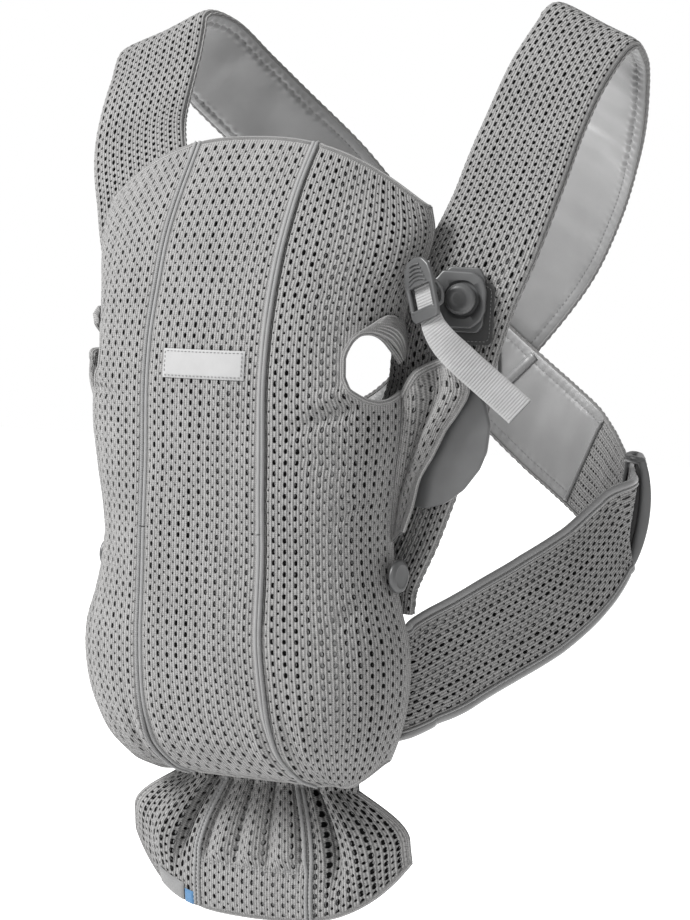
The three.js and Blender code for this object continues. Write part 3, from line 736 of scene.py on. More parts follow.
# The arm hole's two edges, as cloth heights for distances out from the seam.
ARM_IN, ARM_MEET = 46.0, SPLIT + CHEST_ROWS * ROW
ARM_TOP = Curve([
    [45, 255], [46.5, 250], [49, 245.5], [54, 240.5], [64, 236], [76, 236.5], [88.8, 241]])
ARM_LOW = Curve([
    [45, 259], [46.5, 265], [49, 271], [54, 277], [60, 278.5], [70, 275], [79, 268], [88.8, 259]])


def arm_top(s):
    return np.where(np.abs(s) < ARM_IN, ARM_MEET, ARM_TOP(np.abs(s)))


def arm_low(s):
    return np.where(np.abs(s) < ARM_IN, ARM_MEET, ARM_LOW(np.abs(s)))


def panel_foot(s):
    """The panel's lower edge, drawn up towards the outer corners."""
    return FOOT + 19 * smooth(np.abs(s), 46, SIDE_SPAN)


def flat(value):
    return lambda s: np.full(np.shape(s), float(value))


def seams_closed(span, centred=False):
    """Scales the holes: none right beside a seam or an edge. A centred gore has no seam at s 0."""
    def scale(s, t):
        d = span - np.abs(s) if centred else np.minimum(np.abs(s), span - np.abs(s))
        return np.where(d < 2.6, 0.0, np.where(d < 5, 0.8, 1.0))
    return scale


INNER_DEPTH, THICKNESS = 1.5, 3.4


def backing(name, pieces):
    """The layer under the mesh, coloured near black as painted shade, and the plain face behind it.

    Each of pieces is (surface, s values, lo, hi, rows)."""
    dark, face = Builder(), Builder()
    for surf, s, lo, hi, nt in pieces:
        # the inner layer: near black, painted shade under the mesh
        sheet_layer(dark, surf, s, lo, hi, nt, -INNER_DEPTH)
        sheet_layer(face, surf, s, lo, hi, nt, -THICKNESS, flip=True)
    return dark.build(name + "_inner_layer", SHADED_BACKING), face.build(name + "_inner_face", INNER)


def edge_roll(builder, surf, s, t, r=2.0, depth=1.2):
    p, n = with_normal(surf, np.asarray(s, float), np.asarray(t, float))
    tube(builder, p - n * depth, r, 8)


def front_blend(obj, upper):
    if upper:
        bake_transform(obj)
    else:
        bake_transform(obj)
    return obj


def arm_hole_rim(rolls, surf, side):
    """The rolled hem round an arm hole: in along its lower edge, out along its upper one."""
    s = np.linspace(SIDE_SPAN - 0.4, ARM_IN, 60)
    s = np.concatenate([s, np.linspace(ARM_IN, SIDE_SPAN - 0.4, 60)])
    h = np.concatenate([arm_top(s[:60] + 1e-4), arm_low(s[60:] + 1e-4)])
    rim = resample(np.stack([s * side, h], 1), 1.2)
    rim = rim[:-1] if np.allclose(rim[-1], rim[-2]) else rim
    edge_roll(rolls, surf, rim[:, 0], rim[:, 1])


def gathered_rolls(rolls, surf, side):
    """The cloth bunched up above an arm hole, as rolls that swell towards the middle one."""
    for i in range(7):
        f = np.linspace(0, 1, 26)
        q = 1 - abs(i - 3) / 7
        s = ARM_IN + 8 + 1.2 * i + (SIDE_SPAN - ARM_IN - 9) * f
        h = ARM_LOW(np.minimum(s, SIDE_SPAN)) + 1.0 + 2.6 * i * np.sin(math.pi * f) ** 0.7
        p, n = with_normal(surf, np.minimum(s, SIDE_SPAN - 0.4) * side, h)
        p = p + n * (1.2 + 4.6 * q * np.sin(math.pi * f)[:, None])
        tube(rolls, p, 1.9 * np.sin(math.pi * (0.06 + 0.88 * f)) ** 0.6, 9)


def make_front_trim(is_upper, t_low, t_high):
    """Seam cords, near-black tubes painted as the shade in the seam grooves, and rolled edges of the upper or
    lower part of the front.
    """
    cords, rolls, shade_tubes = Builder(), Builder(), Builder()
    for side, _ in SIDES:
        t = np.arange(t_low, t_high + 0.1, 0.26)
        welt = (-1.5, 1.35, 0.5, 0, cords)
        rope = (1.35, 1.3, 1.1, 5.6 * side, cords)
        # groove: a thin near-black tube in the hollow beside each seam, painted shade
        groove = (3.2, 0.55, -0.15, 0, shade_tubes)
        for shift, r, lift, twist, to in (welt, rope, groove):
            at = t[::4] if not twist else t
            p, n = with_normal(centre_surface, np.full(at.shape, side * (CENTRE_HALF + shift)), at)
            tube(to, p + n * lift, r, 10, twist=twist)
        surf = side_surface(side)
        edge_s = side * (SIDE_SPAN - 0.4)
        t = t[::4]
        if is_upper:
            high = t[t >= float(arm_low(np.array([edge_s]))[0])]
            edge_roll(rolls, surf, np.full(high.shape, edge_s), high)
            arm_hole_rim(rolls, surf, side)
            gathered_rolls(rolls, surf, side)
            s = np.linspace(0, SIDE_SPAN - 0.4, 40) * side
            edge_roll(rolls, surf, s, np.full(s.shape, HEAD_HIGH - 1))
        else:
            t_edge = t[(t >= float(panel_foot(edge_s))) & (t <= 153)]
            edge_roll(rolls, surf, np.full(t_edge.shape, edge_s), t_edge)
            s = np.linspace(0, SIDE_SPAN - 0.4, 40) * side
            edge_roll(rolls, surf, s, panel_foot(s) + 0.4)
    s = np.linspace(-CENTRE_HALF, CENTRE_HALF, 40)
    edge_roll(rolls, centre_surface, s, np.full(s.shape, HEAD_HIGH - 1 if is_upper else FOOT + 0.4))
    tag = "upper" if is_upper else "lower"
    cord = front_blend(cords.build(f"front_seam_cords_{tag}", TAPE), is_upper)
    front_blend(rolls.build(f"front_edge_roll_{tag}", MESH), is_upper)
    front_blend(shade_tubes.build(f"front_seam_painted_shade_{tag}", SHADE_YARN), is_upper)
    if is_upper:
        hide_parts("panel_seam_right", "panel_seam_left", "head_seam_right", "head_seam_left")
    else:
        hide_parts("seat_seam_right", "seat_seam_left")


def make_front():
    cs = np.linspace(-CENTRE_HALF, CENTRE_HALF, 31)
    lower_parts = [(centre_surface, cs, flat(FOOT), flat(SPLIT), 34)]
    upper_parts = [(centre_surface, cs, flat(SPLIT), flat(HEAD_HIGH), 46)]
    centre_scale = seams_closed(CENTRE_HALF, True)
    lower = [knit("panel_centre_mesh", centre_surface, CENTRE_COLUMNS, LOWER_ROWS, CENTRE_CELL, HOLES, MESH,
                  s0=-CENTRE_HALF, t0=FOOT, join_high=True, open_at=centre_scale, seed=21)]
    upper = [knit("head_centre_mesh", centre_surface, CENTRE_COLUMNS, CHEST_ROWS + HEAD_ROWS, CENTRE_CELL,
                  HOLES, MESH, s0=-CENTRE_HALF, t0=SPLIT, hi=flat(HEAD_HIGH), join_low=True,
                  open_at=centre_scale, seed=22)]
    for side, name in SIDES:
        surf = side_surface(side)
        s0 = 0.0 if side > 0 else -SIDE_SPAN
        ss = np.linspace(s0, s0 + SIDE_SPAN, 31)
        scale = seams_closed(SIDE_SPAN)
        lower.append(knit(f"panel_gore_mesh_{name}", surf, SIDE_COLUMNS, LOWER_ROWS, SIDE_CELL, HOLES, MESH,
                          s0=s0, t0=FOOT, join_high=True, lo=panel_foot, open_at=scale, seed=23 + side))
        upper.append(knit(f"chest_gore_mesh_{name}", surf, SIDE_COLUMNS, CHEST_ROWS, SIDE_CELL, HOLES, MESH,
                          s0=s0, t0=SPLIT, join_low=True, join_high=True,
                          hi=lambda s: np.where(np.abs(s) < ARM_IN, 999, arm_top(s)),
                          open_at=scale, seed=27 + side))
        upper.append(knit(f"head_gore_mesh_{name}", surf, SIDE_COLUMNS, HEAD_ROWS, SIDE_CELL, HOLES, MESH,
                          s0=s0, t0=ARM_MEET, join_low=True,
                          lo=lambda s: np.where(np.abs(s) < ARM_IN, 0, arm_low(s)),
                          hi=flat(HEAD_HIGH), open_at=scale, seed=31 + side))
        lower_parts.append((surf, ss, panel_foot, flat(SPLIT), 34))
        upper_parts.append((surf, ss, flat(SPLIT), arm_top, 20))
        upper_parts.append((surf, ss, arm_low, flat(HEAD_HIGH), 26))
    lower += backing("panel", lower_parts)
    upper += backing("head", upper_parts)
    for objs, is_upper in ((lower, False), (upper, True)):
        for obj in objs:
            front_blend(obj, is_upper)
    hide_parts("seat_panel", "front_panel")
    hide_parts("head_support")
    for is_upper, t_low, t_high in ((False, FOOT, SPLIT), (True, SPLIT, HEAD_HIGH)):
        make_front_trim(is_upper, t_low, t_high)


make_front()


# ------------------------------------------------------------------ straps and bands
class Ribbon:
    """A band along stations of (centre, across direction, width), the same spline as the CAD's."""

    def __init__(self, stations, side):
        pts = np.array([s[0] for s in stations], float)
        across = np.array([s[1] for s in stations], float) * side
        width = np.array([s[2] for s in stations], float)
        last = len(pts) - 1
        ends = np.vstack([2 * pts[0] - pts[1], pts, 2 * pts[-1] - pts[-2]])
        out, place = [], []
        for k in range(last):
            a, b, c, d = ends[k:k + 4]
            ta, tb, tc = (np.linalg.norm(q) ** 0.5 for q in (b - a, c - b, d - c))
            m1 = ((b - a) / ta - (c - a) / (ta + tb) + (c - b) / tb) * tb
            m2 = ((c - b) / tb - (d - b) / (tb + tc) + (d - c) / tc) * tb
            for u in np.linspace(0, 1, 24, endpoint=(k == last - 1)):
                h00, h10 = 2 * u ** 3 - 3 * u ** 2 + 1, u ** 3 - 2 * u ** 2 + u
                h01, h11 = -2 * u ** 3 + 3 * u ** 2, u ** 3 - u ** 2
                out.append(h00 * b + h10 * m1 + h01 * c + h11 * m2)
                place.append(k + u)
        self.place = np.array(place)
        self.p = np.array(out)
        self.t = np.concatenate([[0], np.cumsum(np.linalg.norm(np.diff(self.p, axis=0), axis=1))])
        self.length = self.t[-1]
        index = np.arange(last + 1)
        tangent = unit(np.gradient(self.p, self.t, axis=0))
        a = np.stack([np.interp(self.place, index, across[:, k]) for k in range(3)], 1)
        kernel = np.hanning(19)
        kernel /= kernel.sum()
        a = np.stack([np.convolve(np.pad(a[:, k], 9, "edge"), kernel, "valid") for k in range(3)], 1)
        self.a = unit(a - tangent * np.sum(a * tangent, -1, keepdims=True))
        self.n = np.cross(self.a, tangent)
        self.w = np.interp(self.place, index, width)

    def at(self, station):
        """The length along the band at a station count."""
        return float(np.interp(station, self.place, self.t))

    def outward(self, t):
        """The band's normals at lengths t."""
        return np.stack([np.interp(t, self.t, self.n[:, k]) for k in range(3)], -1)

    def lay(self, x, h, t, nominal):
        """A point x across (for a band of the nominal width), h outward, t along."""
        x, h, t = np.broadcast_arrays(np.asarray(x, float), np.asarray(h, float), np.asarray(t, float))
        pick = lambda q: np.stack([np.interp(t, self.t, q[:, k]) for k in range(3)], -1)
        w = np.interp(t, self.t, self.w)
        return pick(self.p) + pick(self.a) * (x * w / nominal)[..., None] + pick(self.n) * h[..., None]


class Section:
    """Half of a rounded flat cross-section, measured along its surface."""

    def __init__(self, half, height, power=4.0):
        a = np.linspace(0, math.pi / 2, 400)
        self.x = half * np.sin(a) ** (2 / power)
        self.h = height * np.maximum(np.cos(a), 0) ** (2 / power)
        self.s = np.concatenate([[0], np.cumsum(np.hypot(np.diff(self.x), np.diff(self.h)))])
        self.span = self.s[-1]

    def __call__(self, s):
        s = np.clip(np.asarray(s, float), -self.span, self.span)
        return np.sign(s) * np.interp(np.abs(s), self.s, self.x), np.interp(np.abs(s), self.s, self.h)


STRAP_W, CROSS_LIFT, BAND_SAG = 68.0, 3.8, 15
PAD_END, BAND_END = 14.6, 21.3  # station counts where the foam and the satin lining end
STRAP_CELL, STRAP_HOLES = (3.1, 5.8), ((1.16, 1.86), (0.8, 0.86))
BINDING_STRIPS = (  # station, slant, half width and height
    (18.85, 7.0, 3.2, 1.5), (17.6, -5.0, 2.2, 1.1), (21.35, 0.0, 1.3, 1.3))


def strap_stations(side):
    w = STRAP_W
    chest = [
        ((66, 32, 105), (1, 0, 0)), ((68, 34, 125), (1, 0, 0)), ((83, 37, 160), (1, 0, 0)),
        ((99, 38, 200), (1, 0, 0)), ((115.5, 35, 236), (1, 0.02, 0)), ((123, 31, 266), (1, 0.06, -0.05)),
        ((135.5, 31, 300), (1, 0.1, -0.1)), ((145, 41, 329), (1, 0.12, -0.12)),
        ((147, 62, 357), (1, 0, -0.15)),
    ] if side > 0 else [
        ((-66, 32, 105), (-1, 0, 0)), ((-67, 34, 125), (-1, 0, 0)), ((-71, 37, 155), (-1, 0, 0)),
        ((-78, 38, 192), (-1, 0, 0)), ((-87, 38, 235), (-1, 0, 0)), ((-93, 39, 272), (-1, 0, 0)),
        ((-99, 41, 302), (-1, 0, 0)), ((-110, 50, 330), (-1, 0, -0.1)), ((-126, 68, 360), (-1, 0, -0.15)),
    ]
    m, lift = side, side * CROSS_LIFT
    sag = BAND_SAG if side > 0 else 0
    return [(c, a, w) for c, a in chest] + [
        ((146 * m, 94, 395), (m, -0.06, -0.2), w), ((153 * m, 121, 436), (m, -0.12, -0.3), w),
        ((160 * m, 146, 460), (m, -0.2, -0.42), w), ((155 * m, 176, 454), (m, -0.1, -0.5), w),
        ((143 * m, 202, 430), (m, -0.05, -0.65), w), ((127 * m, 226, 404), (m, 0, -0.75), w),
        ((100 * m, 256 + m, 366), (m, 0, -0.8), w), ((66 * m, 277 + lift, 320), (m, 0, -0.8), w - 2),
        ((32 * m, 282 + lift, 280), (m, 0, -0.8), w - 4), ((0, 282.5 + lift, 248), (m, 0, -0.95), w - 4),
        ((-32 * m, 281 + lift, 222 - 0.5 * sag), (m, 0, -1.2), w - 2),
        ((-64 * m, 275 + lift, 200 - sag), (m, 0, -1.5), w),
        ((-92 * m, 262 + m, 184 - 0.8 * sag), (m * 0.8, 0, -1.7), w),
        ((-116 * m, 246, 170 - 0.3 * sag), (m * 0.5, 0, -1.8), w - 2),
        ((-136 * m, 231, 159), (m * 0.13, 0.06, -1), w - 6),
        ((-145.2 * m, 225.0, 153), (m * 0.13, -0.04, -1), w - 8)]


BAND_W = 70.0
BUCKLE = np.array([158.0, 202.0, 151.0])
SLIDE = unit(np.array([0.49, -0.86, -0.08]))


def waist_stations(side):
    flip = np.array([side, 1, 1])
    out = [((BUCKLE + SLIDE * d) * flip, (0.13 * side, 0.08, 1), 60) for d in (-28, -20, -10, 0, 10, 20, 30)]
    return out + [
        ((170 * side, 163, 142), (0.05 * side, 0, 1), 60), ((161 * side, 140, 122), (0, 0, 1), 64),
        ((146 * side, 112, 103), (0, 0, 1), 70), ((130 * side, 82, 88), (0, 0, 1), 70),
        ((116 * side, 54, 75), (0, 0, 1), 70), ((106 * side, 40, 67), (0, 0, 1), 67),
        ((102.3 * side, 33, 64), (0, 0, 1), 66), ((94 * side, 25, 60), (0, 0, 1), 66),
        ((84 * side, 22, 57), (0, 0, 1), 66)]


COVER, LINING = Section(34.0, 4.7), Section(34.0, 3.9)
satin_folds, pucker = Noise(41), Noise(42)


def strap_surfaces(side):
    band = Ribbon(strap_stations(side), side)
    pad_end = band.at(PAD_END)

    def fill(t):
        return mix(1.0, 0.42, smooth(t, pad_end - 26, pad_end + 10))

    def cover(s, t):
        x, h = COVER(s)
        h = h * fill(t) + 0.35 * lumps(x / 30 + 7 * side, np.asarray(t) / 46)
        return band.lay(x, h, t, STRAP_W)

    def lining(s, t):
        x, h = LINING(s)
        t = np.asarray(t, float)
        edge = bump(np.abs(x), 27.5, 6.0)
        ripple = 0.75 * edge * np.cos(t * 0.95 + 2.6 * pucker(t / 13, x / 40 + side))
        cross = 2.3 * satin_folds(t / 13 + x / 60 + 5 * side, x / 42) * (1 - smooth(np.abs(x), 22, 32))
        groove = 1.1 * bump(np.abs(x), 27.0, 1.7)
        return band.lay(x, -(h * fill(t)) + (groove + ripple + cross) * fill(t) ** 1.5, t, STRAP_W)

    return band, cover, lining


def edge_open(s, t):
    """Scales a strap's holes: none on its rounded rims, smaller ones beside them."""
    inset = COVER.span - np.abs(s)
    return np.where(inset < 3.2, 0.0, np.where(inset < 6, 0.7, 1.0))


def edge_path(band, x, h, t, nominal):
    return band.lay(np.full(t.shape, x), np.full(t.shape, h), t, nominal)


def make_strap(side, name):
    """A strap from the chest over the shoulder and across the back to the other side's buckle."""
    other = "left" if side > 0 else "right"
    band, cover, lining = strap_surfaces(side)
    columns = 24
    rows = int(band.length // STRAP_CELL[1])
    span = columns * STRAP_CELL[0] / 2
    half = rows // 2
    mesh = knit(f"strap_mesh_{name}", cover, columns, half, STRAP_CELL, STRAP_HOLES, MESH,
                s0=-span, t0=0.5, open_at=edge_open, depth=1.0, seed=50 + side, join_high=True)
    upper = knit(f"strap_mesh_back_{name}", cover, columns, rows - half, STRAP_CELL, STRAP_HOLES, MESH,
                 s0=-span, t0=0.5 + half * STRAP_CELL[1], open_at=edge_open, depth=1.0, seed=55 + side,
                 join_low=True)
    dark, satin, trims, threads, strips = Builder(), Builder(), Builder(), Builder(), Builder()
    s = np.linspace(-COVER.span, COVER.span, 25)
    # under the strap mesh and behind its band end: the near-black layer, painted shade
    sheet_layer(dark, cover, s, flat(0.5), flat(band.length - 0.5), 200, -1.7)
    s = np.linspace(-LINING.span, LINING.span, 61)
    end_low = band.at(BAND_END)
    k = np.linspace(0.5, end_low, 620)
    grid_s, grid_t = np.broadcast_arrays(s[None, :], k[:, None])
    satin.grid(lining(grid_s, grid_t), np.stack([grid_s, grid_t], -1) * UV_SCALE, flip=True)
    back_s = np.linspace(-LINING.span, LINING.span, 25)
    end_rows = int((band.length - 0.6 - end_low) // 3.4)
    strip = knit(f"band_end_mesh_{name}", lambda s, t: lining(-np.asarray(s, float), t), 21, end_rows,
                 (2 * LINING.span / 21, 3.4), ((1.0, 1.2), (0.5, 0.5)), MESH, s0=-LINING.span, t0=end_low,
                 depth=0.6, seed=90 + side,
                 open_at=lambda s, t: np.where(np.abs(s) > LINING.span - 4, 0.0, 0.9))
    sheet_layer(dark, lining, back_s, flat(end_low), flat(band.length - 0.6), 8, 0.7, flip=True)
    t = np.arange(1, band.length - 1, 1.5)
    for x in (-34.2, 34.2):
        scallop = 0.45 * np.cos(t * 2 * math.pi / STRAP_CELL[1])
        path = band.lay(x * (1 + scallop / 90), -0.9 + 0 * t, t, STRAP_W)
        tube(trims, path, 1.1 + 0.25 * scallop, 7)
    for station, slant, wide, high in BINDING_STRIPS:
        xs = np.linspace(-31.5, 31.5, 40)
        mid = band.at(station) + slant * xs / 34
        out = band.lay(0, 0, mid, STRAP_W) - band.lay(0, 1, mid, STRAP_W)
        tube(strips, lining(xs, mid) + out, 1.0, 12, flat=(wide, high), normal=out)
    for x in (-27.0, 27.0):
        stitches(threads, lining(np.full(t.shape, x), t), -band.outward(t), 2.6, 1.1, 0.3)
    xs = np.linspace(-30.5, 30.5, 30)
    joint = band.lay(xs, 0 * xs + 0.3, 0 * xs + band.length - 1.0, STRAP_W)
    out = band.lay(xs, 0 * xs + 1.3, 0 * xs + band.length - 1.0, STRAP_W) - joint
    tube(strips, joint, 1.0, 16, flat=(4.6, 3.1), normal=out)
    layer = dark.build(f"strap_inner_layer_{name}", SHADED_BACKING)
    lined = satin.build(f"strap_lining_{name}", SATIN)
    pieces = [(mesh, "mesh"), (upper, "mesh"), (strip, "mesh"), (layer, "mesh"), (lined, "lining"),
              (strips.build(f"strap_binding_{name}", BINDING), "lining"),
              (trims.build(f"strap_edge_{name}", MESH), "mesh"),
              (threads.build(f"strap_stitching_{name}", THREAD), "tape")]
    for obj, slot in pieces:
        dress(obj, "harness")
    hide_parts(f"chest_strap_cover_{name}", f"shoulder_cover_{name}", f"back_band_cover_{other}")
    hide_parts(f"chest_strap_lining_{name}", f"shoulder_lining_{name}", f"shoulder_pad_{name}",
                f"back_band_lining_{other}")


def make_waist_band(side, name):
    """The double mesh band from the buckle to the lower front."""
    waist = Ribbon(waist_stations(side), side)
    t_low = 0.02 * waist.length

    def face(sign):
        def surf(s, t):
            d = 0.6 * lumps(np.asarray(t) / 40, np.asarray(s) / 30 + 2 * sign)
            edge = np.sqrt(np.maximum(1 - (np.abs(s) / 35.05) ** 6, 0))
            return waist.lay(s * sign, sign * 2.0 * edge + d, t, BAND_W)
        return surf
    rows = int((waist.length - t_low) // STRAP_CELL[1])
    for sign, tag in ((1, "outer"), (-1, "inner")):
        mesh = knit(f"waist_mesh_{tag}_{name}", face(sign), 22, rows, (3.18, 5.8), STRAP_HOLES, MESH,
                    s0=-34.98, t0=t_low, depth=0.8, seed=60 + sign + 3 * side,
                    open_at=lambda s, t: np.where(np.abs(s) > 29.5, 0.0, 1.0))
        dress(mesh, "harness")
    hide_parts(f"waist_band_{name}")
    core, piping = Builder(), Builder()
    # the core between the two mesh faces: the near-black layer, painted shade
    sheet_layer(core, lambda s, t: waist.lay(s, 0 * np.asarray(s), t, BAND_W), np.linspace(-33, 33, 13),
                flat(t_low), flat(waist.length), 60, 0.0)
    t = np.arange(t_low, waist.length, 1.6)
    for x in (-33.2, 33.2):
        out = waist.outward(t)
        tube(piping, edge_path(waist, x, 0.0, t, BAND_W), 1.0, 10, flat=(2.7, 2.1), normal=out)
        for sign in (1, -1):
            tube(piping, edge_path(waist, x * 0.915, 2.0 * sign, t, BAND_W), 0.8, 8)
    inner = dress(core.build(f"waist_inner_layer_{name}", SHADED_BACKING), "harness")
    dress(piping.build(f"waist_piping_{name}", BINDING), "harness")


for strap_side, strap_name in SIDES:
    make_strap(strap_side, strap_name)
    make_waist_band(strap_side, strap_name)


# ------------------------------------------------------------------ side wings
WING_LOW, WING_HIGH = 150.0, 240.0
WING_EDGE = {  # fraction up: the outer edge's point
    1: Curve([[0, 107, 7, 157], [0.12, 112, 9, 172], [0.3, 117, 10, 190], [0.45, 125, 11, 203],
              [0.6, 134, 12, 219], [0.75, 143, 14, 231], [0.88, 150, 15, 244], [1, 146, 14, 259]]),
    -1: Curve([[0, 107, 8, 157], [0.3, 112, 10, 188], [0.6, 121, 13, 217], [0.88, 128, 15, 243],
               [1, 125, 14, 254]])}


def wing_surface(side):
    edge_curve = WING_EDGE[side]

    def surf(s, t):
        """s runs from the panel's edge outwards in mm of 40, t from the foot up in mm of 90."""
        u = np.clip(np.asarray(s, float) * side / 40.0, -0.08, 1)
        v = np.clip(np.asarray(t, float) / 90.0, 0, 1)
        u, v = np.broadcast_arrays(u, v)
        z = mix(WING_LOW, WING_HIGH, v)
        w, edge, _ = np.moveaxis(FRONT(z), -1, 0)
        root = np.stack([w + 0.4, edge - 2.2, z], -1)
        p = mix(root, edge_curve(v), u[..., None])
        valley = 0.08 + 0.42 * v
        p[..., 1] += 6.5 * bump(u - valley, 0, 0.26) * v
        p[..., 1] -= 6.0 * bump(u - valley, 0.36, 0.34) * v + 3.5 * bump(u, valley - 0.3, 0.25) * v
        p[..., 2] += 10 * np.sin(math.pi * np.clip(u, 0, 1)) * v * v
        p[..., 0] *= side
        return p
    return surf


def make_wings():
    for side, name in SIDES:
        surf = wing_surface(side)
        s0 = 0.0 if side > 0 else -40.0
        mesh = knit(f"wing_mesh_{name}", surf, 12, 14, (40 / 12, 90 / 14), ((1.05, 1.6), (0.6, 0.66)), MESH,
                    s0=s0, depth=0.8, seed=70 + side,
                    open_at=lambda s, t: np.where((np.abs(s) > 35) | (np.abs(s) < 3) | (t > 84), 0.0, 0.95))
        dark, rolls = Builder(), Builder()
        s = np.linspace(s0, s0 + 40, 14)
        # under the wing mesh: the near-black layer, painted shade
        sheet_layer(dark, surf, s, flat(0), flat(90), 20, -1.2)
        face = Builder()
        sheet_layer(face, surf, s, flat(0), flat(90), 20, -2.4, flip=True)
        edge_roll(rolls, surf, np.linspace(0, 40, 30) * side, np.full(30, 89.4), 3.0, 1.6)
        edge_roll(rolls, surf, np.full(24, 39.6 * side), np.linspace(0, 90, 24), 1.9, 1.0)
        pieces = [mesh, dark.build(f"wing_inner_layer_{name}", SHADED_BACKING),
                  face.build(f"wing_inner_face_{name}", INNER), rolls.build(f"wing_edge_{name}", MESH)]
        for obj in pieces:
            dress(obj, "front_panel")
        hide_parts(f"side_wing_{name}")


make_wings()


# ------------------------------------------------------------------ hem flap
FLAP_SPAN, FLAP_DROP = 103.0, 84.0
FLAP_SEAM = 0.405


def flap_surface(s, t):
    """s across in mm, t from the top down in mm; flutes run between the seams down to the hem's stitching."""
    k = np.clip(np.asarray(s, float) / FLAP_SPAN, -1, 1)
    above = np.minimum(np.asarray(t, float), 0)
    v = np.clip(np.asarray(t, float) / FLAP_DROP, 0, 1)
    k, v, above = np.broadcast_arrays(k, v, above)
    half = mix(68.0, FLAP_SPAN, np.sin(np.minimum(v * 1.5, 1) * math.pi * 0.5))
    low = -92.0 + 42.0 * np.abs(k) ** 3.5
    y = 19 - 17 * np.sin(math.pi * 0.62 * v) * (1 - k * k) + 6 * np.abs(k) ** 3 * v
    inside = 1 - smooth(np.abs(k), FLAP_SEAM - 0.03, FLAP_SEAM + 0.03)
    flute = np.abs(np.cos(k / FLAP_SEAM * math.pi * 1.75)) ** 0.7
    fade = 1 - smooth(v, 0.5, 0.64)
    y = y - 9.0 * inside * (flute - 0.35) * fade
    pleat = bump(np.abs(k), 0.56, 0.07) * (1 - smooth(v, 0.45, 0.9))
    y = y + 9.0 * pleat - 6.0 * bump(np.abs(k), 0.72, 0.14) * (1 - smooth(v, 0.5, 1.0)) * (1 - inside)
    y = y - 0.9 * lumps(k * 5 + 9, v * 3) + 0.8 * bump(np.abs(k), FLAP_SEAM, 0.04)
    return np.stack([k * half, y + 0.1 * above, mix(-9.5, low, v) - above], -1)


def flap_upward(s, t):
    """The flap's surface with t from the hem up."""
    return flap_surface(s, FLAP_DROP - np.asarray(t, float))


def make_flap():
    pieces = []
    outward = flap_upward
    columns = 56
    step = 2 * FLAP_SPAN / columns

    def open_at(s, t):
        k, v = np.abs(s) / FLAP_SPAN, 1 - t / FLAP_DROP
        near = (np.abs(k - FLAP_SEAM) < 0.028) | (k > 0.965) | (v > 0.965)
        near = near | (np.abs(v - 0.62) < 0.03) & (k < FLAP_SEAM)
        return np.where(near, 0.0, np.where(k > FLAP_SEAM, 1.2, 0.95))

    def shape(s, t):
        wide = smooth(np.abs(s) / FLAP_SPAN, 0.5, 0.8)
        return 1 + 0.12 * wide, 1 + 0.22 * wide
    mesh = knit("flap_mesh", outward, columns, 15, (step, FLAP_DROP / 13), ((1.25, 1.8), (0.8, 0.9)), MESH,
                s0=-FLAP_SPAN, open_at=open_at, shape=shape, depth=1.0, seed=80)
    pieces.append(mesh)
    dark, face, rolls, cords, threads = Builder(), Builder(), Builder(), Builder(), Builder()
    s = np.linspace(-FLAP_SPAN, FLAP_SPAN, 121)
    top = flat(FLAP_DROP + 12)
    # under the flap mesh: the near-black layer, painted shade
    sheet_layer(dark, outward, s, flat(0), top, 44, -1.6)
    sheet_layer(face, outward, s, flat(0), top, 44, -3.0, flip=True)
    edge_roll(rolls, outward, np.linspace(-FLAP_SPAN, FLAP_SPAN, 120), np.full(120, 0.6), 1.9, 1.3)
    for side in (1, -1):
        up = np.linspace(0.6, FLAP_DROP, 30)
        edge_roll(rolls, outward, np.full(30, side * (FLAP_SPAN - 0.4)), up, 1.8, 1.3)
        t = np.arange(1, FLAP_DROP + 10, 0.8)
        for shift in (-1.7, 1.7):
            p, n = with_normal(outward, np.full(t.shape, side * FLAP_SEAM * FLAP_SPAN + shift), t)
            tube(cords, p + n * 0.8, 1.35, 8, twist=2.4 * side)
    for v in (0.61, 0.635):
        s = np.linspace(-FLAP_SEAM + 0.03, FLAP_SEAM - 0.03, 90) * FLAP_SPAN
        p, n = with_normal(outward, s, np.full(s.shape, FLAP_DROP * (1 - v)))
        stitches(threads, p + n * 0.3, n, 2.2, 1.0, 0.34)
    pieces += [dark.build("flap_inner_layer", SHADED_BACKING), face.build("flap_inner_face", INNER),
               rolls.build("flap_edge", MESH)]
    cord = cords.build("flap_seam_cords", TAPE)
    for obj in pieces:
        dress(obj, "hem_flap")
    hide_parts("hem_flap")
    dress(cord, "hem_flap", ("flap_seam_right", "flap_seam_left"))
    dress(threads.build("flap_hem_stitching", THREAD), "hem_flap")


make_flap()


# ------------------------------------------------------------------ moulded hardware
def placed(mm_matrix, pts):
    """Points in mm, moved by a placement in mm."""
    pts = np.asarray(pts, float)
    m = np.array(mm_matrix)
    return pts @ m[:3, :3].T + m[:3, 3]


def turned(centre, rx=0.0, ry=0.0, rz=0.0, order="XYZ"):
    """A placement in mm, with the CAD's turning order."""
    spin = {"X": Matrix.Rotation(math.radians(rx), 4, "X"), "Y": Matrix.Rotation(math.radians(ry), 4, "Y"),
            "Z": Matrix.Rotation(math.radians(rz), 4, "Z")}
    m = spin[order[0]] @ spin[order[1]] @ spin[order[2]]
    return Matrix.Translation(Vector(centre)) @ m


def rounded_outline(points, step=0.9, passes=3):
    """A closed outline through points (x, z), evenly spaced and softened."""
    p = np.array(points + points[:1], float)
    p = resample(p, step)[:-1]
    for _ in range(passes):
        p = (np.roll(p, 1, 0) + 2 * p + np.roll(p, -1, 0)) / 4
    return p


